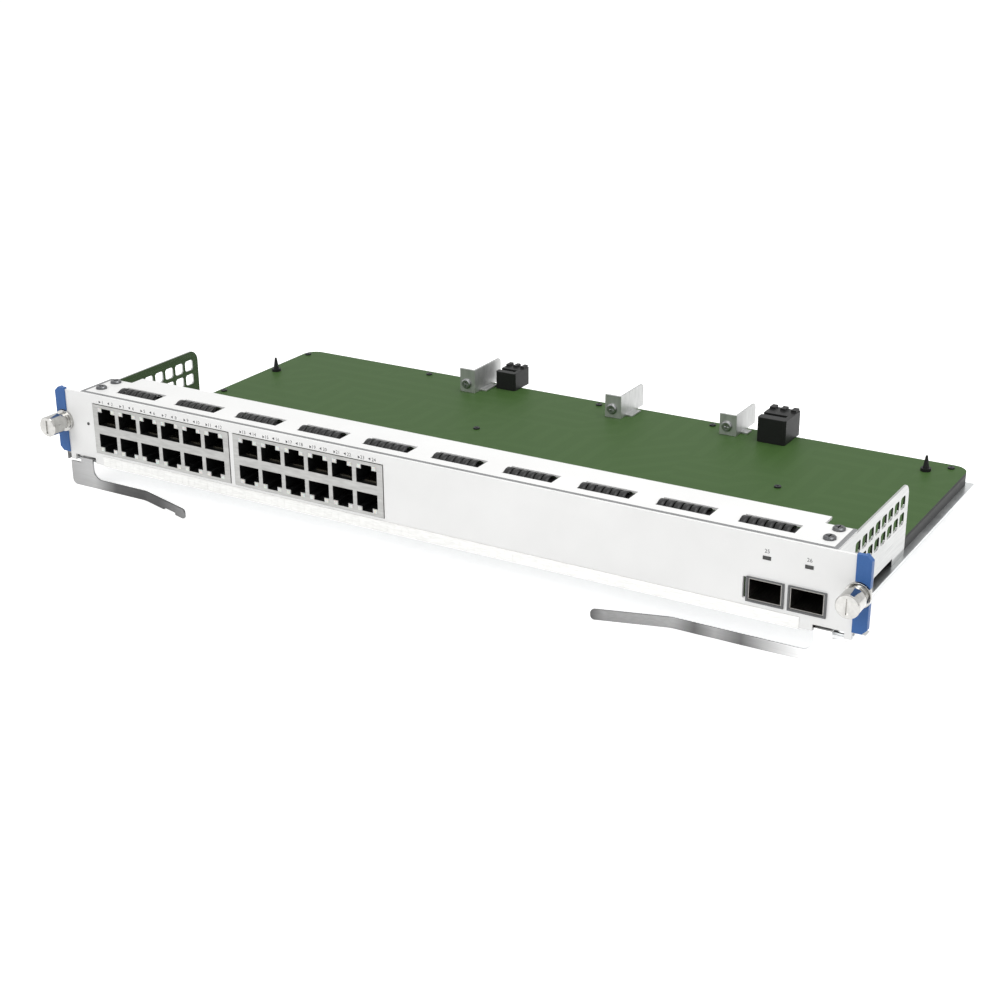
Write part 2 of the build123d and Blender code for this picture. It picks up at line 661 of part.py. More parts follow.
def make_edge_socket(middle):
    half = SOCKET_WIDTH / 2
    back = SOCKET_FRONT + SOCKET_DEPTH
    body = block(middle - half, middle + half, SOCKET_FRONT, back, BOARD_TOP, BOARD_TOP + SOCKET_HEIGHT)
    slot = BOARD_TOP + SOCKET_HEIGHT * 0.6
    return body - block(middle - half + 1, middle + half - 1, 0, SOCKET_FRONT + 5, slot - 0.6, slot + 0.6)


def make_lenses():
    lenses = []
    half, tall = LIGHT_SLOT / 2, LIGHT_HOLE_RADIUS
    for middle in CAGE_MIDDLES:
        z = PORT_LIGHT_HEIGHT
        lenses.append(block(middle - half, middle + half, -0.2, LENS_LENGTH, z - tall, z + tall))
    lenses.append(rod_back(STATUS_LIGHT_X, STATUS_LIGHT_HEIGHT, -0.2, LENS_LENGTH, tall))
    return lenses


# Captive screws, drawn for the right end: ferrule, spring, seat, knob and threaded shank.

def make_ferrule():
    x, z = screw_x(), SCREW_HEIGHT
    body = rod_back(x, z, -BARREL_FRONT, 0, BARREL_RADIUS)
    body += rod_back(x, z, -FERRULE_SHEET, 0, FERRULE_RADIUS)
    body += rod_back(x, z, 0, PANEL_SHEET, FERRULE_NECK)
    body += rod_back(x, z, PANEL_SHEET, PANEL_SHEET + FERRULE_TAIL, FERRULE_TAIL_RADIUS)
    body -= rod_back(x, z, -BARREL_FRONT - 1, 0, BARREL_BORE)
    return body - rod_back(x, z, -1, PANEL_SHEET + FERRULE_TAIL + 1, SHANK_RADIUS + SHANK_CLEARANCE)


def knob_seat():
    return KNOB_FRONT - KNOB_FACE


def make_spring_seat():
    x, z, front = screw_x(), SCREW_HEIGHT, knob_seat()
    ring = rod_back(x, z, -front, -front + SEAT_SHEET, SEAT_RADIUS)
    return ring - rod_back(x, z, -front - 1, -front + 2, SHANK_RADIUS + SHANK_CLEARANCE)


def make_spring():
    """A coil between the seat in the knob and the floor of the ferrule."""
    length = knob_seat() - SEAT_SHEET - SPRING_WIRE
    pitch = length / SPRING_TURNS
    path = Helix(pitch=pitch, height=length, radius=SPRING_RADIUS)
    start = Plane(origin=path @ 0, z_dir=path % 0)
    coil = sweep(start * Rectangle(SPRING_WIRE, SPRING_WIRE), path, is_frenet=True)
    return Pos(screw_x(), -SPRING_WIRE / 2, SCREW_HEIGHT) * Rot(90, 0, 0) * coil


def knob_slot():
    """The driver's slot across the knob's face."""
    x, z, half = screw_x(), SCREW_HEIGHT, KNOB_SLOT_WIDTH / 2
    floor = -KNOB_FRONT + KNOB_SLOT_DEPTH
    return block(x - half, x + half, -KNOB_FRONT - 1, floor, z - KNOB_SLOT_REACH, z + KNOB_SLOT_REACH)


def make_knob():
    x, z = screw_x(), SCREW_HEIGHT
    knob = rod_back(x, z, -KNOB_FRONT, -KNOB_REAR, KNOB_RADIUS)
    knob = chamfer(knob.edges().group_by(Axis.Y)[0], KNOB_BEVEL)
    knob -= rod_back(x, z, -knob_seat(), 0, KNOB_RADIUS - KNOB_WALL)
    return knob - rod_back(x, z, -KNOB_FRONT - 1, 0, SHANK_RADIUS) - knob_slot()


def make_shank():
    x, z = screw_x(), SCREW_HEIGHT
    shoulder = PANEL_SHEET + FERRULE_TAIL + THREAD_GAP
    thread = rod_back(x, z, shoulder, shoulder + THREAD_LENGTH, THREAD_RADIUS)
    thread = chamfer(thread.edges().group_by(Axis.Y)[-1], 0.5)
    return thread + rod_back(x, z, -KNOB_FRONT, shoulder, SHANK_RADIUS) - knob_slot()


# Ejector levers: one stamped sheet each, with a hook, a pivot eye, a neck through the faceplate
# and a handle that runs along the card's lower edge and bends out at its tip. The handle's lower
# edge is folded back to a hem, and the short lever has a notch near its tip.

def bent_strip(start, bend, share, y, width, height):
    """An upright strip along the handle: straight to the bend, then out by a share of the tip."""
    line = FilletPolyline(
        (start, y), (bend, y), (bend - share * TIP_LENGTH, y - share * TIP_OUT), radius=TIP_BEND_RADIUS)
    return Pos(0, 0, PLATE_BOTTOM) * extrude(trace(line, line_width=width), amount=height)


def make_handle(run, notched):
    """The ribbon in front of the card with its hem, which stops short of the notch or the tip."""
    bend = NECK_INNER - run
    middle = -FACE_GAP - LEVER_SHEET / 2
    ribbon = bent_strip(NECK_INNER, bend, 1, middle, LEVER_SHEET, RIBBON_HEIGHT)
    across = ribbon.edges().filter_by(lambda edge: abs(edge.length - LEVER_SHEET) < 0.01)
    ribbon = fillet(across.sort_by(Axis.X)[:2], TIP_CORNER)
    bare = TIP_CORNER
    if notched:
        left = bend - TIP_LENGTH + NOTCH_FROM_TIP
        right = left + TIP_NOTCH_LENGTH
        ribbon -= block(left, right, -2 * TIP_OUT, 0, PLATE_BOTTOM - 1, PLATE_BOTTOM + TIP_NOTCH_HEIGHT)
        bare = NOTCH_FROM_TIP + TIP_NOTCH_LENGTH
    width = HEM_REACH + LEVER_SHEET / 2
    share = 1 - bare / TIP_LENGTH
    return ribbon + bent_strip(NECK_INNER - HEM_START, bend, share, middle + width / 2, width, HEM_SHEET)


def make_lever(run, notched):
    low, high = lever_heights()
    eye = (LEVER_PIVOT_X, LEVER_PIVOT_Y)
    back = -FACE_GAP
    front = back - LEVER_SHEET
    arm = upright(*eye, low, high, LEVER_EYE)
    arm += block(NECK_INNER, NECK_OUTER, front, LEVER_PIVOT_Y, low, high)
    arm += block(NECK_INNER, LEVER_PIVOT_X, LEVER_PIVOT_Y - 2.4, LEVER_PIVOT_Y + 3.0, low, high)
    hook_front, hook_rear = LEVER_PIVOT_Y - HOOK_WIDTH / 2, LEVER_PIVOT_Y + HOOK_WIDTH / 2
    hook_end = LEVER_PIVOT_X + HOOK_LENGTH
    arm += block(LEVER_PIVOT_X, hook_end, hook_front, hook_rear, low, high)
    arm += block(hook_end - LEVER_SHEET, hook_end, hook_front, hook_rear, low - HOOK_LIP, low)
    arm -= upright(*eye, low - 1, high + 1, RIVET_RADIUS + RIVET_CLEARANCE)
    neck = block(NECK_INNER, NECK_OUTER, front, back, -FACE_GAP, low)
    plate = block(NECK_INNER, NECK_INNER + PLATE_WIDTH, front, back, PLATE_BOTTOM, -FACE_GAP)
    corner = plate.edges().filter_by(Axis.Y).group_by(Axis.X)[-1].group_by(Axis.Z)[0]
    plate = fillet(corner, PLATE_CORNER)
    ledge = PLATE_BOTTOM + RIBBON_HEIGHT
    throat = block(NECK_INNER - NECK_SWEEP, NECK_INNER, front, back, ledge, ledge + NECK_SWEEP)
    throat -= rod_back(NECK_INNER - NECK_SWEEP, ledge + NECK_SWEEP, front - 1, back + 1, NECK_SWEEP)
    return arm + neck + plate + throat + make_handle(run, notched)


def make_rivet(side):
    x, y = side * LEVER_PIVOT_X, LEVER_PIVOT_Y
    top = lever_heights()[1] + 0.2
    return upright(x, y, 0, top, RIVET_RADIUS) + upright(x, y, top, top + RIVET_HEAD, RIVET_HEAD_RADIUS)


# Rear brackets, guide modules, posts and backplane connectors.

def make_rear_bracket(middle, front, rear, height):
    left, right = middle - BRACKET_WIDTH / 2, middle + BRACKET_WIDTH / 2
    top = BOARD_TOP + height
    back = front + BRACKET_SHEET
    tab = block(left, right, front, back, BOARD_TOP, top)
    wall = block(right - BRACKET_SHEET, right, front, rear, BOARD_TOP, top)
    corner = wall.edges().filter_by(Axis.X).group_by(Axis.Z)[-1].group_by(Axis.Y)[-1]
    wall = fillet(corner, BRACKET_CORNER)
    foot_top = BOARD_TOP + BRACKET_SHEET
    foot = block(right, right + BRACKET_FOOT, front + 6, BOARD_REAR - 4, BOARD_TOP, foot_top)
    hole = rod_back(middle - 0.5, BOARD_TOP + BRACKET_SCREW_HEIGHT, front - 1, back + 1, PAN_SHANK_RADIUS)
    return tab + wall + foot - hole


def make_pan_screw(length):
    """A small cross-recess screw, head up at the origin and shank down."""
    head = Pos(0, 0, PAN_HEAD / 2) * Cylinder(PAN_HEAD_RADIUS, PAN_HEAD)
    head = chamfer(head.edges().group_by(Axis.Z)[-1], PAN_BEVEL)
    screw = head + Pos(0, 0, -length / 2) * Cylinder(PAN_SHANK_RADIUS, length)
    floor, half = PAN_HEAD - PAN_RECESS_DEPTH, PAN_RECESS_WIDTH / 2
    reach = PAN_HEAD_RADIUS * 0.6
    screw -= block(-reach, reach, -half, half, floor, PAN_HEAD + 1)
    return screw - block(-half, half, -reach, reach, floor, PAN_HEAD + 1)


def make_flange_screws():
    sites = [(x, y) for x in (-FLANGE_SCREW_X, FLANGE_SCREW_X) for y in FLANGE_SCREW_YS]
    return [Pos(x, y, PANEL_HEIGHT) * make_pan_screw(3.4) for x, y in sites]


def make_bracket_screws():
    z = BOARD_TOP + BRACKET_SCREW_HEIGHT
    screw = Rot(90, 0, 0) * make_pan_screw(3.0)
    return [Pos(middle - 0.5, front, z) * screw for middle, front, rear, height in BRACKETS]


def make_guide_module(left, right, front, rear, height, slot):
    """A moulded block: bevelled front, a slot across its top, ribs and a pin's bore at its back."""
    top = BOARD_TOP + height
    body = block(left, right, front, rear, BOARD_TOP, top)
    body = chamfer(body.edges().filter_by(Axis.Z).group_by(Axis.Y)[0], 1.0)
    body -= block(left - 1, right - 2.4, slot, slot + 3.0, top - 2.2, top + 1)
    rib = (right - left - 1.0) / 5
    for i in range(3):
        start = left + 0.5 + i * 2 * rib
        body += block(start, start + rib, rear - 5.0, rear, top, top + GUIDE_RIB)
    middle = (left + right) / 2
    return body - rod_back(middle, BOARD_TOP + height / 2, rear - GUIDE_BORE_DEPTH, rear + 1, GUIDE_BORE)


def make_post(x, y):
    foot = upright(x, y, BOARD_TOP, BOARD_TOP + POST_FOOT, POST_FOOT_RADIUS)
    stem = Pos(x, y, BOARD_TOP + (POST_FOOT + POST_HEIGHT) / 2)
    return foot + stem * Cone(POST_RADIUS, POST_TIP_RADIUS, POST_HEIGHT - POST_FOOT)


def make_backplane_connector(middle):
    """A low receptacle under the board's rear edge, slotted for the backplane's blades."""
    half = BACKPLANE_WIDTH / 2
    back = BOARD_REAR + BACKPLANE_PROUD
    body = block(middle - half, middle + half, back - BACKPLANE_DEPTH, back, TRAY_SHEET, BOARD_UNDER)
    pitch = (BACKPLANE_WIDTH - 2) / BACKPLANE_SLOTS
    low = (TRAY_SHEET + BOARD_UNDER - BACKPLANE_SLOT_HEIGHT) / 2
    for i in range(BACKPLANE_SLOTS):
        x = middle - half + 1 + (i + 0.5) * pitch
        left, right = x - BACKPLANE_SLOT_HALF, x + BACKPLANE_SLOT_HALF
        front = back - BACKPLANE_SLOT_DEPTH
        body -= block(left, right, front, back + 1, low, low + BACKPLANE_SLOT_HEIGHT)
    return body


# Parts on the board behind the flange.

def make_switch_chip():
    half = SWITCH_CHIP_SIDE / 2
    x, y = SWITCH_CHIP_X, SWITCH_CHIP_Y
    return block(x - half, x + half, y - half, y + half, BOARD_TOP, BOARD_TOP + SWITCH_CHIP_HEIGHT)


def make_heat_sink():
    half = SINK_SIDE / 2
    x, y = SWITCH_CHIP_X, SWITCH_CHIP_Y
    base = BOARD_TOP + SWITCH_CHIP_HEIGHT
    sink = block(x - half, x + half, y - half, y + half, base, base + SINK_BASE)
    pitch = (SINK_SIDE - SINK_FIN_SHEET) / (SINK_FINS - 1)
    for i in range(SINK_FINS):
        left = x - half + i * pitch
        top = base + SINK_BASE + SINK_FIN_HEIGHT
        sink += block(left, left + SINK_FIN_SHEET, y - half, y + half, base + SINK_BASE, top)
    return sink


def make_phy_chips():
    left, right = jack_middles()
    half, top = PHY_SIDE / 2, BOARD_TOP + PHY_HEIGHT
    middles = (left, (left + right) / 2, right)
    return [block(x - half, x + half, PHY_Y - half, PHY_Y + half, BOARD_TOP, top) for x in middles]


save("faceplate", make_faceplate())
save("top_flange", make_top_flange())
save("top_gasket", make_top_gasket())
save("bottom_gasket", make_bottom_gasket())
save("contact_springs", [make_contact_spring(middle) for middle in window_middles()])
for place, upper in (("upper", True), ("lower", False)):
    cap = make_end_cap(upper)
    save(f"end_cap_{place}_right", cap)
    save(f"end_cap_{place}_left", mirrored(cap))
right_end = {
    "side_plate": make_side_plate(),
    "ferrule": make_ferrule(),
    "spring_seat": make_spring_seat(),
    "screw_spring": make_spring(),
    "knob": make_knob(),
    "screw_shank": make_shank(),
}
for name, piece in right_end.items():
    save(f"{name}_right", piece)
    save(f"{name}_left", mirrored(piece))
save("side_rail_left", make_side_rail(-1))
save("side_rail_right", make_side_rail(1))
save("lever_right", make_lever(RIGHT_RUN, False))
save("lever_left", mirrored(make_lever(LEFT_RUN, True)))
save("lever_rivets", [make_rivet(-1), make_rivet(1)])
save("tray", make_tray())
save("circuit_board", make_board())
save("board_screws", [make_board_screw(x, y) for x, y in SCREW_SITES])
save("standoffs", [make_standoff(x, y) for x, y in SCREW_SITES if abs(x) < BOARD_HALF - RAIL_WIDTH])
for name, middle in zip(("left", "right"), jack_middles()):
    save(f"jack_body_{name}", make_jack_body(middle))
    save(f"jack_shell_{name}", make_jack_shell(middle))
    save(f"jack_lights_{name}", make_light_pipes(middle))
    save(f"jack_contacts_{name}", make_contacts(middle))
for name, middle in zip(("left", "right"), CAGE_MIDDLES):
    save(f"cage_{name}", make_cage(middle))
    save(f"cage_collar_{name}", make_collar(middle))
    save(f"edge_socket_{name}", make_edge_socket(middle))
save("light_lenses", make_lenses())
for number, bracket in enumerate(BRACKETS, start=1):
    save(f"rear_bracket_{number}", make_rear_bracket(*bracket))
save("bracket_screws", make_bracket_screws())
save("flange_screws", make_flange_screws())
for name, guide in zip(("left", "right"), GUIDES):
    save(f"guide_module_{name}", make_guide_module(*guide))
save("board_post_left", make_post(*POST_SITES[0]))
save("board_post_right", make_post(*POST_SITES[1]))
for number, middle in enumerate(BACKPLANE_MIDDLES, start=1):
    save(f"backplane_connector_{number}", make_backplane_connector(middle))
save("switch_chip", make_switch_chip())
save("heat_sink", make_heat_sink())
save("phy_chips", make_phy_chips())
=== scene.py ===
"""A switch line card with network jacks, transceiver cages, captive screws and ejector levers.

It is dressed around its CAD frame. Sections follow the order in which the card is put together.
"""
import math

import bmesh
import bpy
from mathutils import Matrix, Vector


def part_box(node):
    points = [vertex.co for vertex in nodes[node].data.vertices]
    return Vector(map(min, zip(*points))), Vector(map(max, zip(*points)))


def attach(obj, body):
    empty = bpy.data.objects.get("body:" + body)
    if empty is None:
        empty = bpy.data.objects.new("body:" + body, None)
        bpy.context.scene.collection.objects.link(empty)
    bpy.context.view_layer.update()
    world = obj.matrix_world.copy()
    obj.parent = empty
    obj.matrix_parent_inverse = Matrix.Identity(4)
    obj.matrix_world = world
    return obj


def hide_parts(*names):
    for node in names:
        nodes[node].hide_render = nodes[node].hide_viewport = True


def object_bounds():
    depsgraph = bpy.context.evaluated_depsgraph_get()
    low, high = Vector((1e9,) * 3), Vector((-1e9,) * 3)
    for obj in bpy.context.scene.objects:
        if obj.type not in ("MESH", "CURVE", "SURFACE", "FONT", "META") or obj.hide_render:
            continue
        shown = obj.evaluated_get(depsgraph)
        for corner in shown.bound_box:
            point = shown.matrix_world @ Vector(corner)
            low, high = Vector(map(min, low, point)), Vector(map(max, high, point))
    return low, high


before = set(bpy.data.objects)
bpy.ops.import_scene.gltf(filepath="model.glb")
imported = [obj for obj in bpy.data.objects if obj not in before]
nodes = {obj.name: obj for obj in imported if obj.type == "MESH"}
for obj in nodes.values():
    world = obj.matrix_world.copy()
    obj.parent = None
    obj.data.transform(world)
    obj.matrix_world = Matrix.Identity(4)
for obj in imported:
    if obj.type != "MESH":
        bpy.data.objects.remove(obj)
scene = bpy.context.scene
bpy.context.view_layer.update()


# Tray.
# The card stands on a tray of zinc-plated sheet steel, cut and folded on a press. It carries the
# standoffs and rails under the board, and its edges run in the chassis's card guides.

MM = 0.001


def linear(hex_colour):
    """An sRGB hex colour as the linear RGBA that a shader takes."""
    parts = [int(hex_colour[i:i + 2], 16) / 255 for i in (1, 3, 5)]
    return [c / 12.92 if c < 0.04045 else ((c + 0.055) / 1.055) ** 2.4 for c in parts] + [1.0]


def add(tree, kind, feeds=None, **settings):
    """Adds one node with its settings. Each feed is a value, or another node's output socket."""
    node = tree.nodes.new(kind)
    for key, value in settings.items():
        setattr(node, key, value)
    for key, value in (feeds or {}).items():
        if isinstance(value, bpy.types.NodeSocket):
            tree.links.new(value, node.inputs[key])
        else:
            node.inputs[key].default_value = value
    return node


def new_finish(name, **surface):
    """A material with its Principled shader set, and its node tree."""
    finish = bpy.data.materials.new(name)
    finish.use_nodes = True
    shader = finish.node_tree.nodes["Principled BSDF"]
    for key, value in surface.items():
        shader.inputs[key.replace("_", " ")].default_value = value
    return finish, finish.node_tree, shader


def grain(tree, size, stretch=(1, 1, 1), detail=2.0):
    """Noise whose blotches are about one size across, in metres, stretched along each axis."""
    place = add(tree, "ShaderNodeTexCoord").outputs["Object"]
    scale = [1 / (size * s) for s in stretch]
    turned = add(tree, "ShaderNodeMapping", {"Vector": place, "Scale": scale}).outputs["Vector"]
    noise = add(tree, "ShaderNodeTexNoise", {"Vector": turned, "Scale": 1.0, "Detail": detail})
    return noise.outputs["Fac"]


def ramp(tree, fac, *stops):
    """A colour ramp through (position, hex colour) stops."""
    node = add(tree, "ShaderNodeValToRGB", {"Fac": fac})
    band = node.color_ramp
    while len(band.elements) < len(stops):
        band.elements.new(0.5)
    for element, (position, colour) in zip(band.elements, stops):
        element.position = position
        element.color = linear(colour)
    return node.outputs["Color"]


def tint(tree, shader, fac, *stops):
    """Colours the surface by a pattern, through (position, hex colour) stops."""
    tree.links.new(ramp(tree, fac, *stops), shader.inputs["Base Color"])


def relief(tree, shader, height, depth, strength=1.0):
    """Raises the surface by a pattern, to a depth in metres."""
    bump = add(tree, "ShaderNodeBump", {"Height": height, "Distance": depth, "Strength": strength})
    tree.links.new(bump.outputs["Normal"], shader.inputs["Normal"])


def varied(tree, shader, socket, fac, low, high):
    """Drives a surface value between two numbers by a pattern."""
    spread = add(tree, "ShaderNodeMapRange", {"Value": fac, "To Min": low, "To Max": high})
    tree.links.new(spread.outputs["Result"], shader.inputs[socket])


def dress(finish, *names):
    """Gives CAD nodes their finish."""
    for name in names:
        materials = nodes[name].data.materials
        materials.clear()
        materials.append(finish)


def zinc_plated_steel():
    """Bright electro-galvanised sheet: pale, with a soft cloudy sheen drawn out along the roll."""
    finish, tree, shader = new_finish("zinc_plated_steel", Metallic=1.0, Roughness=0.35)
    cloud = grain(tree, 9 * MM, (4, 1, 1), detail=4.0)
    tint(tree, shader, cloud, (0.3, "#C9CCCD"), (0.7, "#DCDEDE"))
    varied(tree, shader, "Roughness", cloud, 0.28, 0.42)
    relief(tree, shader, grain(tree, 0.5 * MM, (12, 1, 1)), 0.004 * MM)
    return finish


zinc = zinc_plated_steel()
dress(zinc, "tray", "standoffs")


# Side rails.
# Two bars of glass-filled nylon, moulded with a fine spark-eroded grain. They lie between the
# tray and the board's side edges, and keep the two apart.

def black_nylon():
    """Moulded black plastic: near black, dull, with grain finer than a millimetre."""
    finish, tree, shader = new_finish(
        "black_glass_filled_nylon", Roughness=0.5, IOR=1.5, Specular_IOR_Level=0.3)
    speck = grain(tree, 0.45 * MM, detail=3.0)
    tint(tree, shader, speck, (0.3, "#0F1010"), (0.75, "#191A1A"))
    varied(tree, shader, "Roughness", speck, 0.42, 0.58)
    relief(tree, shader, speck, 0.015 * MM)
    return finish


nylon = black_nylon()
dress(nylon, "side_rail_left", "side_rail_right")


# Circuit board.
# Glass-epoxy laminate under a green solder mask, printed and routed to shape. The mask shows the
# copper tracks beneath it as faint ridges. Faces that don't face up, the routed edges among them,
# are painted dark as shade. Blackened screws hold the board to the standoffs.

TRACK_PITCH = 11.94 * MM
TRACK_PATCH = 26 * MM
ACROSS_FROM = 0.45
SLANTED_FROM = 0.75
WAVE_RADIANS = 20


def maths(tree, operation, first, second):
    """The result of one operation on two values or sockets."""
    return add(tree, "ShaderNodeMath", {0: first, 1: second}, operation=operation).outputs[0]


def green_solder_mask():
    """Cured epoxy ink over copper: satin green, a shade lighter where a track lies beneath.

    The tracks run along X, along Y or slanted, patch by patch. A wave texture turns WAVE_RADIANS
    in one unit of its scale.
    """
    finish, tree, shader = new_finish(
        "green_solder_mask", Roughness=0.5, IOR=1.52, Specular_IOR_Level=0.1)
    place = add(tree, "ShaderNodeTexCoord").outputs["Object"]
    patch = add(
        tree, "ShaderNodeTexVoronoi", {"Vector": place, "Scale": 1 / TRACK_PATCH},
        distance="CHEBYCHEV")
    cell = add(tree, "ShaderNodeSeparateColor", {"Color": patch.outputs["Color"]}).outputs
    lanes = []
    for turn in (0.0, math.pi / 2, math.pi / 4):
        turned = add(tree, "ShaderNodeMapping", {"Vector": place, "Rotation": (0, 0, turn)})
        lane = add(
            tree, "ShaderNodeTexWave",
            {
                "Vector": turned.outputs["Vector"],
                "Scale": 2 * math.pi / (WAVE_RADIANS * TRACK_PITCH),
            },
            wave_type="BANDS", bands_direction="X", wave_profile="SIN")
        lanes.append(lane.outputs["Fac"])
    across = maths(tree, "GREATER_THAN", cell["Red"], ACROSS_FROM)
    slanted = maths(tree, "GREATER_THAN", cell["Green"], SLANTED_FROM)
    straight = add(tree, "ShaderNodeMix", {"Factor": across, "A": lanes[0], "B": lanes[1]})
    tracks = add(
        tree, "ShaderNodeMix", {"Factor": slanted, "A": straight.outputs[0], "B": lanes[2]})
    raised = add(
        tree, "ShaderNodeMapRange",
        {"Value": tracks.outputs[0], "From Min": 0.62, "From Max": 0.72}).outputs["Result"]
    colour = ramp(tree, raised, (0.0, "#3C572C"), (1.0, "#3E592E"))
    # Painted shade: faces that don't face up, the routed edges and the underside, turn near black.
    normal = add(tree, "ShaderNodeNewGeometry").outputs["True Normal"]
    facing = add(tree, "ShaderNodeSeparateXYZ", {"Vector": normal}).outputs["Z"]
    level = add(tree, "ShaderNodeClamp", {"Value": facing}).outputs["Result"]
    skin = add(
        tree, "ShaderNodeMix", {"Factor": level, "A": linear("#1B1E1A"), "B": colour},
        data_type="RGBA")
    tree.links.new(skin.outputs["Result"], shader.inputs["Base Color"])
    relief(tree, shader, raised, 0.02 * MM, strength=0.15)
    return finish


def black_oxide_steel():
    """Hot-blackened screw steel: near black with a dull sheen, lighter where the oil has dried."""
    finish, tree, shader = new_finish("black_oxide_steel", Metallic=0.7, Roughness=0.45)
    bloom = grain(tree, 0.8 * MM, detail=3.0)
    tint(tree, shader, bloom, (0.3, "#26282A"), (0.8, "#3A3D3F"))
    relief(tree, shader, bloom, 0.01 * MM)
    return finish


solder_mask = green_solder_mask()
black_oxide = black_oxide_steel()
dress(solder_mask, "circuit_board")
dress(black_oxide, "board_screws")


# Small parts on the board.
# Ceramic capacitors and thick-film resistors, a millimetre or two long, placed by machine and
# soldered by their tinned ends. They stand in rows behind the jacks and on three sides of the
# switch chip.

CHIP_LENGTH = 2.0 * MM
CHIP_WIDTH = 1.25 * MM
CHIP_HEIGHT = 0.8 * MM
CHIP_END = 0.4 * MM
SOLDER_FILM = 0.03 * MM
CHIPS_ALONG_JACKS = 14
CHIPS_ALONG_SINK = 9

board_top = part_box("circuit_board")[1].z


def new_tree(name, **sizes):
    """A Geometry Nodes tree with one named input for each size, and its input and output nodes."""
    tree = bpy.data.node_groups.new(name, "GeometryNodeTree")
    tree.interface.new_socket("Geometry", in_out="INPUT", socket_type="NodeSocketGeometry")
    for size, value in sizes.items():
        kind = "NodeSocketInt" if isinstance(value, int) else "NodeSocketFloat"
        socket = tree.interface.new_socket(size, in_out="INPUT", socket_type=kind)
        socket.default_value = value
    tree.interface.new_socket("Geometry", in_out="OUTPUT", socket_type="NodeSocketGeometry")
    return tree, add(tree, "NodeGroupInput").outputs, add(tree, "NodeGroupOutput")


def vector(tree, **parts):
    """A vector from values or sockets for X, Y and Z; one that isn't given is 0."""
    return add(tree, "ShaderNodeCombineXYZ", parts).outputs["Vector"]


def moved(tree, shape, **how):
    """A shape given a Translation or a Rotation."""
    return add(tree, "GeometryNodeTransform", {"Geometry": shape, **how}).outputs["Geometry"]


def joined(tree, *shapes):
    """Several shapes as one."""
    join = add(tree, "GeometryNodeJoinGeometry")
    for shape in shapes:
        tree.links.new(shape, join.inputs["Geometry"])
    return join.outputs["Geometry"]


def close_tree(tree, sizes, output, shape, finish):
    """Ends a tree: its shape on each point, the instances made real, and given their material."""
    spread = add(
        tree, "GeometryNodeInstanceOnPoints", {"Points": sizes["Geometry"], "Instance": shape})
    real = add(tree, "GeometryNodeRealizeInstances", {"Geometry": spread.outputs["Instances"]})
    done = add(
        tree, "GeometryNodeSetMaterial", {"Geometry": real.outputs["Geometry"], "Material": finish})
    tree.links.new(done.outputs["Geometry"], output.inputs["Geometry"])
    return tree


def place_mesh(name, mesh, body):
    """A new piece at the origin, riding on its body."""
    piece = bpy.data.objects.new(name, mesh)
    scene.collection.objects.link(piece)
    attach(piece, body)
    return piece


def grown(name, places, tree, finish, body, slot, **sizes):
    """The plain mesh that a tree makes on a set of points, as a piece of its own."""
    seed = bpy.data.meshes.new(name + "_places")
    seed.from_pydata([tuple(place) for place in places], [], [])
    grower = bpy.data.objects.new(name + "_grower", seed)
    scene.collection.objects.link(grower)
    modifier = grower.modifiers.new("tree", "NODES")
    modifier.node_group = tree
    inputs = [item for item in tree.interface.items_tree if item.in_out == "INPUT"]
    keys = {item.name: item.identifier for item in inputs}
    for size, value in sizes.items():
        modifier[keys[size]] = value
    graph = bpy.context.evaluated_depsgraph_get()
    mesh = bpy.data.meshes.new_from_object(grower.evaluated_get(graph), depsgraph=graph)
    bpy.data.objects.remove(grower)
    mesh.materials.clear()
    mesh.materials.append(finish)
    return place_mesh(name, mesh, body)


def tinned_copper():
    """Solder-levelled copper: soft silver with a slightly uneven skin."""
    finish, tree, shader = new_finish("tinned_copper", Metallic=1.0, Roughness=0.3)
    skin = grain(tree, 0.6 * MM)
    tint(tree, shader, skin, (0.3, "#B9BAB4"), (0.8, "#D4D5CF"))
    relief(tree, shader, skin, 0.02 * MM)
    return finish


def chip_tree(name, finish, length, width, height, middles):
    """Boxes along X on each point: one middle, or the two ends beside it."""
    tree, sizes, output = new_tree(name, Length=length, Width=width, Height=height, Reach=0.0)
    size = vector(tree, X=sizes["Length"], Y=sizes["Width"], Z=sizes["Height"])
    box = add(tree, "GeometryNodeMeshCube", {"Size": size}).outputs["Mesh"]
    lift = maths(tree, "MULTIPLY", sizes["Height"], 0.5)
    shapes = []
    for side in middles:
        reach = maths(tree, "MULTIPLY", sizes["Reach"], side)
        shapes.append(moved(tree, box, Translation=vector(tree, X=reach, Z=lift)))
    return close_tree(tree, sizes, output, joined(tree, *shapes), finish)


def fired_ceramic():
    """Sintered ceramic capacitor body: warm tan, waxy and smooth."""
    finish, tree, shader = new_finish("fired_ceramic", Roughness=0.4, IOR=1.6)
    tone = grain(tree, 3 * MM)
    tint(tree, shader, tone, (0.35, "#8E7552"), (0.7, "#A68B64"))
    relief(tree, shader, grain(tree, 0.2 * MM), 0.01 * MM)
    return finish


def grid(x, y, columns, rows, step_x, step_y):
    """Places on the board in rows and columns, counted from the first one."""
    return [
        (x + step_x * column, y + step_y * row, board_top)
        for row in range(rows) for column in range(columns)]


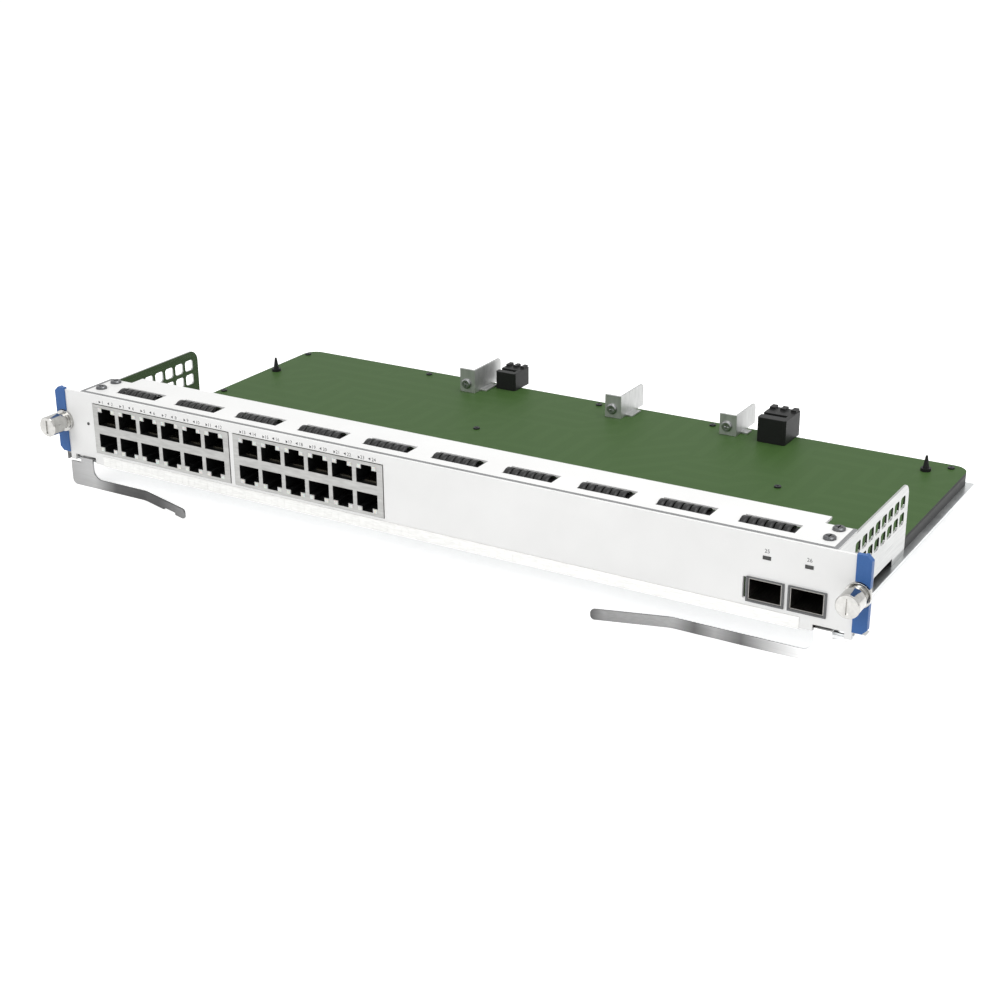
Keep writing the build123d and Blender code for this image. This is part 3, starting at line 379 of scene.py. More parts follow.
def chip_places():
    """Places for small parts: behind each jack block, and on three sides of the switch chip."""
    places = []
    for side in ("left", "right"):
        low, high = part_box(f"jack_shell_{side}")
        step = (high.x - low.x) / CHIPS_ALONG_JACKS
        places += grid(
            low.x + step / 2, high.y + 3.2 * MM, columns=CHIPS_ALONG_JACKS, rows=2, step_x=step,
            step_y=2.4 * MM)
    low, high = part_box("heat_sink")
    step = (high.x - low.x) / CHIPS_ALONG_SINK
    for edge, outward in ((low.y, -1), (high.y, 1)):
        places += grid(
            low.x + step / 2, edge + outward * 2.5 * MM, columns=CHIPS_ALONG_SINK, rows=3,
            step_x=step, step_y=outward * 2.0 * MM)
    places += grid(
        low.x - 7 * MM, low.y + 2 * MM, columns=4, rows=8, step_x=-3.2 * MM, step_y=4.2 * MM)
    return places


tin = tinned_copper()
ceramic = fired_ceramic()
small_parts = chip_places()
bodies_tree = chip_tree("chip_bodies", ceramic, CHIP_LENGTH, CHIP_WIDTH, CHIP_HEIGHT, (0,))
ends_tree = chip_tree(
    "chip_ends", tin, CHIP_END, CHIP_WIDTH + 2 * SOLDER_FILM, CHIP_HEIGHT + 2 * SOLDER_FILM,
    (-1, 1))
grown("chip_bodies", small_parts, bodies_tree, ceramic, "card", "chip_black")
grown(
    "chip_ends", small_parts, ends_tree, tin, "card", "screw_steel",
    Reach=(CHIP_LENGTH - CHIP_END) / 2 + SOLDER_FILM)


# Switch chip, its heat sink and the line transceivers.
# The chips are moulded in black epoxy on the board; the sink is extruded aluminium, glued to the
# chip's lid, with its fins along the air flow.

def moulded_epoxy():
    """Silica-filled epoxy as it leaves the mould: charcoal, matt, very finely pitted."""
    finish, tree, shader = new_finish("moulded_epoxy", Roughness=0.55, IOR=1.55)
    pit = grain(tree, 0.25 * MM, detail=3.0)
    tint(tree, shader, pit, (0.3, "#1E1F20"), (0.7, "#2A2B2C"))
    relief(tree, shader, pit, 0.01 * MM)
    return finish


def extruded_aluminium():
    """Clear-anodised extrusion: soft silver grey with die lines along its fins."""
    finish, tree, shader = new_finish("extruded_aluminium", Metallic=1.0, Roughness=0.38)
    line = grain(tree, 0.3 * MM, (1, 40, 1))
    tint(tree, shader, line, (0.3, "#A9ABAD"), (0.7, "#BDBFC1"))
    relief(tree, shader, line, 0.008 * MM)
    return finish


epoxy = moulded_epoxy()
dress(epoxy, "switch_chip", "phy_chips")
dress(extruded_aluminium(), "heat_sink")


# Chip leads.
# Gull-wing legs of tinned copper along two sides of each line transceiver, stamped, bent down
# and soldered to the board.

LEAD_PITCH = 1.0 * MM
LEAD_WIDTH = 0.4 * MM
LEAD_REACH = 1.1 * MM
LEAD_SHEET = 0.15 * MM
LEAD_RISE = 0.55 * MM
LEAD_BEND = 0.6 * MM
LEAD_SPAN = 14 * MM


def islands(name):
    """The corners of each separate solid in a CAD node, left to right."""
    mesh = bmesh.new()
    mesh.from_mesh(nodes[name].data)
    bmesh.ops.remove_doubles(mesh, verts=mesh.verts, dist=0.001 * MM)
    mesh.verts.ensure_lookup_table()
    seen, boxes = set(), []
    for start in mesh.verts:
        if start.index in seen:
            continue
        group, todo = [], [start]
        seen.add(start.index)
        while todo:
            vertex = todo.pop()
            group.append(vertex.co.copy())
            for edge in vertex.link_edges:
                other = edge.other_vert(vertex)
                if other.index not in seen:
                    seen.add(other.index)
                    todo.append(other)
        low = Vector([min(point[i] for point in group) for i in range(3)])
        high = Vector([max(point[i] for point in group) for i in range(3)])
        boxes.append((low, high))
    mesh.free()
    return sorted(boxes, key=lambda box: (round(box[0].x, 5), box[0].y))


def swept(tree, path, width, sheet):
    """A flat strip drawn along a path, with its width kept level and its ends closed."""
    profile = add(
        tree, "GeometryNodeCurvePrimitiveQuadrilateral", {"Width": width, "Height": sheet})
    level = add(tree, "GeometryNodeSetCurveNormal", {"Curve": path}, mode="Z_UP")
    return add(
        tree, "GeometryNodeCurveToMesh",
        {
            "Curve": level.outputs["Curve"], "Profile Curve": profile.outputs["Curve"],
            "Fill Caps": True,
        }).outputs["Mesh"]


def lead_tree(finish):
    """A bent strip on each point, running out along Y; a second one runs the other way."""
    tree, sizes, output = new_tree(
        "chip_leads", Reach=LEAD_REACH, Width=LEAD_WIDTH, Sheet=LEAD_SHEET, Rise=LEAD_RISE,
        Span=LEAD_SPAN)
    half = maths(tree, "MULTIPLY", sizes["Span"], 0.5)
    tip = maths(tree, "ADD", half, sizes["Reach"])
    bend = add(
        tree, "GeometryNodeCurvePrimitiveBezierSegment",
        {
            "Resolution": 8, "Start": vector(tree, Y=half, Z=sizes["Rise"]),
            "End": vector(tree, Y=tip, Z=LEAD_SHEET / 2), "Start Handle": (0, LEAD_BEND, 0),
            "End Handle": (0, -LEAD_BEND, 0),
        },
        mode="OFFSET").outputs["Curve"]
    lead = swept(tree, bend, sizes["Width"], sizes["Sheet"])
    pair = joined(tree, lead, moved(tree, lead, Rotation=(0, 0, math.pi)))
    return close_tree(tree, sizes, output, pair, finish)


lead_places = []
for low, high in islands("phy_chips"):
    count = round((high.x - low.x) / LEAD_PITCH) - 1
    for i in range(count):
        x = (low.x + high.x) / 2 + (i - (count - 1) / 2) * LEAD_PITCH
        lead_places.append((x, (low.y + high.y) / 2, board_top))
grown("chip_leads", lead_places, lead_tree(tin), tin, "card", "screw_steel")


# Jack blocks.
# Each is one black moulding with twelve sockets in two rows, inside a drawn and tin-plated steel
# shell. Sprung gold-flashed wires stand in the sockets, and milky light pipes fill the corners
# beside each latch notch.

def tin_plated_shell():
    """Tin-plated steel strip: mid grey with a soft sheen and short rub marks."""
    finish, tree, shader = new_finish("tin_plated_shell", Metallic=0.9, Roughness=0.38)
    rub = grain(tree, 1.2 * MM, (5, 1, 1), detail=4.0)
    tint(tree, shader, rub, (0.25, "#9E9E9C"), (0.75, "#B6B6B4"))
    varied(tree, shader, "Roughness", rub, 0.3, 0.46)
    relief(tree, shader, rub, 0.006 * MM)
    return finish


def black_pbt():
    """Flame-retardant polyester moulding: deep black and slightly glossy."""
    finish, tree, shader = new_finish("black_pbt", Roughness=0.36, IOR=1.54)
    speck = grain(tree, 0.6 * MM, detail=3.0)
    tint(tree, shader, speck, (0.3, "#101111"), (0.8, "#1A1B1B"))
    relief(tree, shader, speck, 0.008 * MM)
    return finish


def gold_flash():
    """A thin gold flash over nickel: a dull warm grey, worn paler along the contact."""
    finish, tree, shader = new_finish("gold_flash", Metallic=1.0, Roughness=0.25)
    wear = grain(tree, 1.5 * MM, (1, 3, 1))
    tint(tree, shader, wear, (0.3, "#99927E"), (0.8, "#B6AF9C"))
    relief(tree, shader, wear, 0.004 * MM)
    return finish


def milky_light_pipe():
    """Diffusing polycarbonate: off-white, glossy, letting light bleed a little way in."""
    finish, tree, shader = new_finish(
        "milky_polycarbonate", Roughness=0.25, IOR=1.585, Subsurface_Weight=0.25,
        Subsurface_Scale=1.0 * MM)
    haze = grain(tree, 1.0 * MM)
    tint(tree, shader, haze, (0.3, "#CFCFCA"), (0.8, "#E4E4DF"))
    relief(tree, shader, haze, 0.01 * MM)
    return finish


shell_finish = tin_plated_shell()
pbt = black_pbt()
gold = gold_flash()
pipe_finish = milky_light_pipe()
for side in ("left", "right"):
    dress(shell_finish, f"jack_shell_{side}")
    dress(pbt, f"jack_body_{side}")
    dress(gold, f"jack_contacts_{side}")
    dress(pipe_finish, f"jack_lights_{side}")


# Transceiver cages.
# Bent and tabbed from nickel silver strip and pressed into the board, each round a black edge
# socket. A collar of conductive rubber closes the gap to the faceplate.

def nickel_silver():
    """Rolled nickel silver: warm grey with a satin face."""
    finish, tree, shader = new_finish("nickel_silver", Metallic=1.0, Roughness=0.3)
    roll = grain(tree, 0.8 * MM, (1, 14, 1), detail=3.0)
    tint(tree, shader, roll, (0.3, "#8C8A86"), (0.75, "#A5A39E"))
    relief(tree, shader, roll, 0.005 * MM)
    return finish


def conductive_rubber():
    """Silver-filled silicone: dark grey, dull, with filler showing as a fine sparkle."""
    finish, tree, shader = new_finish("conductive_rubber", Roughness=0.6, IOR=1.45)
    fleck = grain(tree, 0.3 * MM, detail=4.0)
    tint(tree, shader, fleck, (0.35, "#515253"), (0.75, "#707172"))
    relief(tree, shader, fleck, 0.03 * MM)
    return finish


def dark_lens():
    """Tinted acrylic over an unlit diode: almost black and glossy."""
    finish, tree, shader = new_finish("tinted_acrylic", Roughness=0.15, IOR=1.49)
    depth = grain(tree, 0.9 * MM)
    tint(tree, shader, depth, (0.3, "#2A2B2A"), (0.8, "#3B3C3A"))
    relief(tree, shader, depth, 0.02 * MM)
    return finish


cage_finish = nickel_silver()
rubber = conductive_rubber()
for side in ("left", "right"):
    dress(cage_finish, f"cage_{side}")
    dress(rubber, f"cage_collar_{side}")
    dress(pbt, f"edge_socket_{side}")
dress(dark_lens(), "light_lenses")


# Faceplate and top flange.
# Both are cut from steel sheet, deburred, and powder coated off-white before assembly. The coat
# rounds every edge a little, and its surface has the faint orange peel of a baked powder.

COAT_RADIUS = 0.22 * MM


def softened(name, width, finish, body, sharp=30):
    """A copy of a CAD node with its edges rounded, which stands for that node."""
    mesh = bpy.data.meshes.new(name + "_finished")
    edit = bmesh.new()
    edit.from_mesh(nodes[name].data)
    bmesh.ops.remove_doubles(edit, verts=edit.verts, dist=0.002 * MM)
    bmesh.ops.dissolve_limit(
        edit, angle_limit=math.radians(0.5), verts=edit.verts, edges=edit.edges, delimit={"NORMAL"})
    edit.to_mesh(mesh)
    edit.free()
    packed_normals = mesh.attributes.get("custom_normal")
    if packed_normals:
        mesh.attributes.remove(packed_normals)
    mesh.shade_smooth()
    rough = bpy.data.objects.new(name + "_rough", mesh)
    scene.collection.objects.link(rough)
    bevel = rough.modifiers.new("edges", "BEVEL")
    bevel.width = width
    bevel.segments = 2
    bevel.limit_method = "ANGLE"
    bevel.angle_limit = math.radians(sharp)
    bevel.harden_normals = True
    graph = bpy.context.evaluated_depsgraph_get()
    done = bpy.data.meshes.new_from_object(rough.evaluated_get(graph), depsgraph=graph)
    bpy.data.objects.remove(rough)
    done.materials.clear()
    done.materials.append(finish)
    piece = place_mesh(name + "_finished", done, body)
    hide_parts(name)
    return piece


def powder_coat():
    """Baked polyester powder: off-white, satin, with orange peel about two millimetres across."""
    finish, tree, shader = new_finish("off_white_powder_coat", Roughness=0.42, IOR=1.5)
    tone = grain(tree, 30 * MM)
    tint(tree, shader, tone, (0.3, "#E7E7E6"), (0.7, "#ECECEB"))
    peel = grain(tree, 1.8 * MM, detail=1.0)
    varied(tree, shader, "Roughness", peel, 0.36, 0.48)
    relief(tree, shader, peel, 0.012 * MM, strength=0.6)
    return finish


coat = powder_coat()
softened("faceplate", COAT_RADIUS, coat, "card")
softened("top_flange", COAT_RADIUS, coat, "card")


# Port numbers.
# Plain numbers and small triangles, screen printed in dark grey ink on the faceplate: one pair
# over each column of jacks, and one number over each cage's light.

DIGIT_HEIGHT = 1.7 * MM
DIGIT_SHARE = 0.7
INK_THICKNESS = 0.02 * MM
PORT_PITCH = 13.97 * MM
PORT_COLUMNS = 6
TRIANGLE_RADIUS = 0.85 * MM
# Heights over the shells and lights, then places from the middle of a column.
MARK_RISE = 1.7 * MM
LIGHT_NUMBER_RISE = 2.2 * MM
TRIANGLE_SHIFT = 0.1 * MM
UPPER_NUMBER, LOWER_NUMBER = -2.2 * MM, 4.2 * MM
UPPER_TRIANGLE, LOWER_TRIANGLE = -4.3 * MM, 1.9 * MM


def screen_ink():
    """Epoxy screen ink: dark grey, matt, with slightly uneven cover."""
    finish, tree, shader = new_finish("dark_screen_ink", Roughness=0.6, IOR=1.5)
    cover = grain(tree, 0.4 * MM)
    tint(tree, shader, cover, (0.3, "#303133"), (0.8, "#434446"))
    relief(tree, shader, cover, 0.005 * MM)
    return finish


def triangle_tree(name, finish, turn):
    """A flat three-cornered mark on each point, facing the front."""
    tree, sizes, output = new_tree(name, Size=TRIANGLE_RADIUS, Ink=INK_THICKNESS)
    mark = add(
        tree, "GeometryNodeMeshCylinder",
        {"Vertices": 3, "Radius": sizes["Size"], "Depth": sizes["Ink"]}).outputs["Mesh"]
    stood = moved(tree, mark, Rotation=(math.pi / 2, turn, 0))
    return close_tree(tree, sizes, output, stood, finish)


def printed_numbers(name, places, finish):
    """Numbers printed on the faceplate, each centred on its place."""
    whole = bmesh.new()
    upright = Matrix.Rotation(math.pi / 2, 4, "X")
    for number, (x, z) in places:
        curve = bpy.data.curves.new("number", "FONT")
        curve.body = str(number)
        curve.size = DIGIT_HEIGHT / DIGIT_SHARE
        curve.align_x = "CENTER"
        curve.align_y = "CENTER"
        curve.extrude = INK_THICKNESS / 2
        curve.resolution_u = 3
        text = bpy.data.objects.new("number", curve)
        scene.collection.objects.link(text)
        graph = bpy.context.evaluated_depsgraph_get()
        mesh = bpy.data.meshes.new_from_object(text.evaluated_get(graph), depsgraph=graph)
        mesh.transform(Matrix.Translation((x, -INK_THICKNESS / 2, z)) @ upright)
        whole.from_mesh(mesh)
        bpy.data.objects.remove(text)
        bpy.data.meshes.remove(mesh)
    bmesh.ops.remove_doubles(whole, verts=whole.verts, dist=0.001 * MM)
    mesh = bpy.data.meshes.new(name)
    whole.to_mesh(mesh)
    whole.free()
    mesh.materials.append(finish)
    return place_mesh(name, mesh, "card")


ink = screen_ink()
numbers, up_marks, down_marks = [], [], []
port = 1
for side in ("left", "right"):
    low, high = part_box(f"jack_shell_{side}")
    middle = (low.x + high.x) / 2
    z = high.z + MARK_RISE
    for column in range(PORT_COLUMNS):
        x = middle + (column - (PORT_COLUMNS - 1) / 2) * PORT_PITCH
        numbers += [(port, (x + UPPER_NUMBER, z)), (port + 1, (x + LOWER_NUMBER, z))]
        up_marks.append((x + UPPER_TRIANGLE, -INK_THICKNESS / 2, z - TRIANGLE_SHIFT))
        down_marks.append((x + LOWER_TRIANGLE, -INK_THICKNESS / 2, z + TRIANGLE_SHIFT))
        port += 2
cage_lights = islands("light_lenses")[1:]  # The first one is the status light.
for low, high in cage_lights:
    numbers.append((port, ((low.x + high.x) / 2, high.z + LIGHT_NUMBER_RISE)))
    port += 1
printed_numbers("port_numbers", numbers, ink)
grown("up_marks", up_marks, triangle_tree("up_marks", ink, 0.0), ink, "card", "lens_dark")
grown("down_marks", down_marks, triangle_tree("down_marks", ink, math.pi), ink, "card", "lens_dark")


# Gasket.
# Woven conductive fabric over a foam core, glued into the recess along the flange's front and
# ends. It seals the card against its neighbour.

def conductive_fabric():
    """Nickel-copper plated ripstop: grey, with a weave drawn at half a millimetre to show."""
    finish, tree, shader = new_finish("conductive_fabric", Metallic=0.5, Roughness=0.5)
    place = add(tree, "ShaderNodeTexCoord").outputs["Object"]
    weave = add(
        tree, "ShaderNodeTexChecker",
        {
            "Vector": place, "Scale": 1 / (0.5 * MM), "Color1": linear("#7E7F80"),
            "Color2": linear("#969798"),
        })
    tree.links.new(weave.outputs["Color"], shader.inputs["Base Color"])
    relief(tree, shader, weave.outputs["Fac"], 0.05 * MM)
    return finish


dress(conductive_fabric(), "top_gasket")


# Contact springs.
# Strips of beryllium copper, blanked into arched fingers, plated dark and clipped into the
# flange's windows. The fingers press on the card above.

FINGER_COUNT = 6
FINGER_GAP = 0.7 * MM
FINGER_SPAN = 22.8 * MM
FINGER_SHEET = 0.22 * MM
RAIL_SHEET = 0.25 * MM
# The thin dark sheet under each row of fingers is painted shade: it stands for the dark under the
# flange and keeps the board from showing through the window.
SHADE_WEB_SHEET = 0.1 * MM
SHADE_WEB_SINK = 0.8  # The web lies this share of the rail's sheet below the rail's top.
WINDOW_PLAY = 0.3 * MM


def finger_tree(finish):
    """A row of arched fingers on each point, from front to back, over a thin dark sheet of painted
    shade.
    """
    tree, sizes, output = new_tree(
        "contact_fingers", Count=FINGER_COUNT, Pitch=0.0, Width=0.0, Depth=0.0, Rise=0.0,
        Sheet=FINGER_SHEET, Web=SHADE_WEB_SHEET, Drop=RAIL_SHEET * SHADE_WEB_SINK, Length=0.0)
    back = maths(tree, "MULTIPLY", sizes["Depth"], 0.5)
    front = maths(tree, "MULTIPLY", back, -1.0)
    crown = maths(tree, "MULTIPLY", sizes["Rise"], 2.0)
    arch = add(
        tree, "GeometryNodeCurveQuadraticBezier",
        {
            "Resolution": 14, "Start": vector(tree, Y=front), "Middle": vector(tree, Z=crown),
            "End": vector(tree, Y=back),
        }).outputs["Curve"]
    finger = swept(tree, arch, sizes["Width"], sizes["Sheet"])
    inset = maths(tree, "MULTIPLY", sizes["Width"], 0.5)
    line = add(
        tree, "GeometryNodeMeshLine",
        {
            "Count": sizes["Count"], "Start Location": vector(tree, X=inset),
            "Offset": vector(tree, X=sizes["Pitch"]),
        }).outputs["Mesh"]
    row = add(tree, "GeometryNodeInstanceOnPoints", {"Points": line, "Instance": finger})
    # The painted shade sheet under the fingers, in the springs' dark finish.
    plate = vector(tree, X=sizes["Length"], Y=sizes["Depth"], Z=sizes["Web"])
    shade_web = add(tree, "GeometryNodeMeshCube", {"Size": plate}).outputs["Mesh"]
    along = maths(tree, "MULTIPLY", sizes["Length"], 0.5)
    below = maths(tree, "MULTIPLY", sizes["Drop"], -1.0)
    laid = moved(tree, shade_web, Translation=vector(tree, X=along, Z=below))
    strip = joined(tree, row.outputs["Instances"], laid)
    return close_tree(tree, sizes, output, strip, finish)


def plated_beryllium_copper():
    """Dark tin-nickel plate on spring copper: gunmetal, smooth and quite glossy."""
    finish, tree, shader = new_finish("plated_beryllium_copper", Metallic=0.5, Roughness=0.45)
    tone = grain(tree, 1.6 * MM, (1, 3, 1))
    tint(tree, shader, tone, (0.3, "#1C1C1D"), (0.75, "#303030"))
    relief(tree, shader, tone, 0.01 * MM)
    return finish


spring_finish = plated_beryllium_copper()
finger_pitch = (FINGER_SPAN + FINGER_GAP) / FINGER_COUNT
windows = islands("contact_springs")
window_low, window_high = windows[0]
springs = grown(
    "contact_spring_fingers",
    [(low.x, (low.y + high.y) / 2, low.z + RAIL_SHEET) for low, high in windows],
    finger_tree(spring_finish), spring_finish, "card", "spring_dark",
    Pitch=finger_pitch, Width=finger_pitch - FINGER_GAP,
    Depth=window_high.y - window_low.y - WINDOW_PLAY,
    Rise=window_high.z - window_low.z - RAIL_SHEET - FINGER_SHEET / 2,
    Length=window_high.x - window_low.x)
dress(spring_finish, "contact_springs")
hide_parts("contact_springs")


# Lower finger strip.
# The same kind of spring, bright, clipped along the faceplate's lower edge to ground the card
# to the one below. Its fingers are blanked side by side and pressed out a little.

LOWER_FINGER_PITCH = 4.0 * MM
LOWER_FINGER_GAP = 0.35 * MM
LOWER_FINGER_RISE = 0.06 * MM
LOWER_FINGER_EDGE = 0.6 * MM


def bright_spring():
    """Bright-plated spring strip: pale, nearly white in this light, with rolling lines."""
    finish, tree, shader = new_finish("bright_spring_strip", Metallic=1.0, Roughness=0.28)
    line = grain(tree, 0.6 * MM, (6, 1, 1))
    tint(tree, shader, line, (0.3, "#CDCDCB"), (0.7, "#DADAD8"))
    relief(tree, shader, line, 0.006 * MM)
    return finish


def lower_finger_tree(finish):
    """A flat raised finger, standing upright, on each point."""
    tree, sizes, output = new_tree(
        "lower_fingers", Width=LOWER_FINGER_PITCH - LOWER_FINGER_GAP, Rise=LOWER_FINGER_RISE,
        Height=0.0)
    size = vector(tree, X=sizes["Width"], Y=sizes["Rise"], Z=sizes["Height"])
    finger = add(tree, "GeometryNodeMeshCube", {"Size": size}).outputs["Mesh"]
    return close_tree(tree, sizes, output, finger, finish)


bright = bright_spring()
dress(bright, "bottom_gasket")
low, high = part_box("bottom_gasket")
finger_total = int((high.x - low.x) / LOWER_FINGER_PITCH)
face_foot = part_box("faceplate")[0].z
lower_places = []
for i in range(finger_total):
    x = (low.x + high.x) / 2 + (i - (finger_total - 1) / 2) * LOWER_FINGER_PITCH
    lower_places.append((x, low.y - LOWER_FINGER_RISE / 2, (face_foot + high.z) / 2))
grown(
    "lower_fingers", lower_places, lower_finger_tree(bright), bright, "card", "spring_bright",
    Height=high.z - face_foot - 2 * LOWER_FINGER_EDGE)


# Flange screws.
# Four pan-head machine screws, passivated grey, that clamp the flange to the side plates' tabs.
# The brackets' screws and the levers' rivets are of the same steel, zinc plated.

def screw_steel(name, dark, pale):
    """Turned and plated steel: bluish silver or grey, bright on its rim."""
    finish, tree, shader = new_finish(name, Metallic=1.0, Roughness=0.3)
    tone = grain(tree, 0.7 * MM)
    tint(tree, shader, tone, (0.3, dark), (0.8, pale))
    relief(tree, shader, tone, 0.012 * MM)
    return finish


dress(screw_steel("grey_passivated_steel", "#58595B", "#747577"), "flange_screws")
dress(
    screw_steel("zinc_plated_steel_screw", "#8E8F90", "#B4B5B6"),
    "bracket_screws", "lever_rivets")


# Side plates.
# Perforated plates of polished tinplate, blanked with two rows of square holes and folded. They
# tie the faceplate and flange to the tray, and let the cooling air through.

BLANKED_RADIUS = 0.15 * MM


def polished_tinplate():
    """Bright tinplate: mirror-like, with a faint brushed haze, so the board shows in it."""
    finish, tree, shader = new_finish("polished_tinplate", Metallic=1.0, Roughness=0.14)
    haze = grain(tree, 0.8 * MM, (1, 20, 1), detail=3.0)
    tint(tree, shader, haze, (0.3, "#A6A7A6"), (0.7, "#B8B9B8"))
    varied(tree, shader, "Roughness", haze, 0.11, 0.18)
    relief(tree, shader, haze, 0.003 * MM)
    return finish


tinplate = polished_tinplate()
for side in ("left", "right"):
    softened(f"side_plate_{side}", BLANKED_RADIUS, tinplate, "card")


# End caps.
# Blue ABS mouldings with a fine matt texture, pushed over the faceplate's ends above and below
# each captive screw. They mark the card's type and protect the sheet's corners.

CAP_RADIUS = 0.35 * MM


def blue_abs():
    """Moulded ABS: clear mid blue, low sheen, very fine spark texture."""
    finish, tree, shader = new_finish(
        "blue_abs", Roughness=0.4, IOR=1.53, Specular_IOR_Level=0.2)
    speck = grain(tree, 0.5 * MM, detail=3.0)
    tint(tree, shader, speck, (0.3, "#38609A"), (0.75, "#3E66A1"))
    relief(tree, shader, speck, 0.01 * MM)
    return finish


abs_blue = blue_abs()
for place in ("upper", "lower"):
    for side in ("left", "right"):
        softened(f"end_cap_{place}_{side}", CAP_RADIUS, abs_blue, "card", sharp=40)


# Captive screws.
# Turned brass, nickel plated and polished: a ferrule swaged into the faceplate, a hollow knob
# pressed on a threaded shank, and a coil spring between them that pushes the knob out.

THREAD_PITCH = 0.7 * MM
THREAD_DEPTH = 0.18 * MM
THREAD_LENGTH = 2.9 * MM
THREAD_RADIUS = 2.0 * MM
THREAD_RUNOUT_TURNS = 0.5
FERRULE_RADIUS = 0.2 * MM
KNOB_RADIUS = 0.25 * MM


def nickel_plate():
    """Polished nickel over brass: warm white metal with turning rings too fine to see singly."""
    finish, tree, shader = new_finish("polished_nickel", Metallic=1.0, Roughness=0.14)
    tone = grain(tree, 2.5 * MM)
    tint(tree, shader, tone, (0.3, "#B4B3B0"), (0.8, "#CAC9C6"))
    varied(tree, shader, "Roughness", tone, 0.1, 0.2)
    relief(tree, shader, grain(tree, 0.25 * MM, (4, 1, 4)), 0.002 * MM)
    return finish


def thread_tree(finish):
    """A helical ridge round each point's axis, which runs along Y."""
    tree, sizes, output = new_tree(
        "screw_thread", Turns=THREAD_LENGTH / THREAD_PITCH - THREAD_RUNOUT_TURNS,
        Radius=THREAD_RADIUS, Length=THREAD_LENGTH - 2 * THREAD_DEPTH, Depth=THREAD_DEPTH)
    helix = add(
        tree, "GeometryNodeCurveSpiral",
        {
            "Resolution": 24, "Rotations": sizes["Turns"], "Start Radius": sizes["Radius"],
            "End Radius": sizes["Radius"], "Height": sizes["Length"],
        }).outputs["Curve"]
    ridge = add(
        tree, "GeometryNodeCurvePrimitiveCircle", {"Resolution": 4, "Radius": sizes["Depth"]})
    coil = add(
        tree, "GeometryNodeCurveToMesh",
        {"Curve": helix, "Profile Curve": ridge.outputs["Curve"], "Fill Caps": True})
    laid = moved(tree, coil.outputs["Mesh"], Rotation=(-math.pi / 2, 0, 0))
    return close_tree(tree, sizes, output, laid, finish)


nickel = nickel_plate()
thread = thread_tree(nickel)
for side in ("left", "right"):
    low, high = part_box(f"screw_shank_{side}")
    start = ((low.x + high.x) / 2, high.y - THREAD_LENGTH + THREAD_DEPTH, (low.z + high.z) / 2)
    grown(f"screw_thread_{side}", [start], thread, nickel, f"screw_knob_{side}", "screw_nickel")
    softened(f"ferrule_{side}", FERRULE_RADIUS, nickel, "card", sharp=40)
    softened(f"knob_{side}", KNOB_RADIUS, nickel, f"screw_knob_{side}", sharp=40)
    dress(nickel, f"screw_shank_{side}", f"spring_seat_{side}", f"screw_spring_{side}")


# Ejector levers.
# Each is one stamping of stainless sheet: an eye on its rivet, a hook that bears on the chassis,
# a neck through the faceplate, and a handle whose tip is bent out for the finger.

LEVER_RADIUS = 0.22 * MM


def satin_stainless(side, *tones):
    """Stainless strip: satin, with brighter and duller stretches of painted reflection and shade.

    The tones are stops along the lever, from its low to its high end in X.
    """
    finish, tree, shader = new_finish(f"satin_stainless_{side}", Metallic=1.0, Roughness=0.3)
    low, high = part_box(f"lever_{side}")
    place = add(tree, "ShaderNodeTexCoord").outputs["Object"]
    across = add(tree, "ShaderNodeSeparateXYZ", {"Vector": place}).outputs["X"]
    share = add(
        tree, "ShaderNodeMapRange", {"Value": across, "From Min": low.x, "From Max": high.x})
    # Painted reflection and shade: bright and dark stretches along the lever, set by the tones
    # given for each lever.
    painted_reflection = ramp(tree, share.outputs["Result"], *tones)
    line = grain(tree, 0.7 * MM, (25, 1, 1), detail=3.0)
    brushed = add(
        tree, "ShaderNodeMix",
        {"Factor": 1.0, "A": painted_reflection, "B": ramp(tree, line, (0.3, "#F0F0F0"), (0.7, "#FFFFFF"))},
        data_type="RGBA", blend_type="MULTIPLY")
    tree.links.new(brushed.outputs["Result"], shader.inputs["Base Color"])
    varied(tree, shader, "Roughness", line, 0.24, 0.38)
    relief(tree, shader, line, 0.006 * MM)
    return finish


# Painted reflection and shade, as stops along each lever: the bright and dark bands the metal would
# mirror, darker at each lever's low end.
lever_painted_reflections = {
    "left": (
        (0.0, "#606060"), (0.05, "#A0A0A0"), (0.24, "#AEAEAE"), (0.4, "#5C5C5C"), (0.75, "#4A4A4A"),
        (1.0, "#7C7C7C")),
    "right": (
        (0.0, "#565656"), (0.05, "#8A8A8A"), (0.3, "#9C9C9C"), (0.38, "#686868"), (0.46, "#9E9E9E"),
        (0.56, "#6C6C6C"), (0.68, "#BEBEBE"), (0.82, "#F4F4F4")),
}
for side, tones in lever_painted_reflections.items():
    stainless = satin_stainless(side, *tones)
    softened(f"lever_{side}", LEVER_RADIUS, stainless, f"lever_arm_{side}")


# Rear brackets.
# Three upright angles of satin tinplate, screwed and soldered down, that stiffen the board's
# rear edge. Their tabs face the front and hold a screw each.

def satin_tinplate():
    """Tinplate with a pressed satin face: soft grey, without a clear reflection."""
    finish, tree, shader = new_finish("satin_tinplate", Metallic=0.85, Roughness=0.42)
    cloud = grain(tree, 3 * MM, (1, 1, 3), detail=3.0)
    tint(tree, shader, cloud, (0.3, "#B6B7B6"), (0.7, "#C8C9C8"))
    relief(tree, shader, grain(tree, 0.6 * MM, (1, 1, 12)), 0.004 * MM)
    return finish


satin = satin_tinplate()
for number in (1, 2, 3):
    softened(f"rear_bracket_{number}", BLANKED_RADIUS, satin, "card")


# Guide modules, posts and backplane connectors.
# All are moulded: the modules and posts in black polyester, the connectors in pale liquid crystal
# polymer. The modules take the backplane's guide pins before the connectors mate.

MOULDED_RADIUS = 0.3 * MM


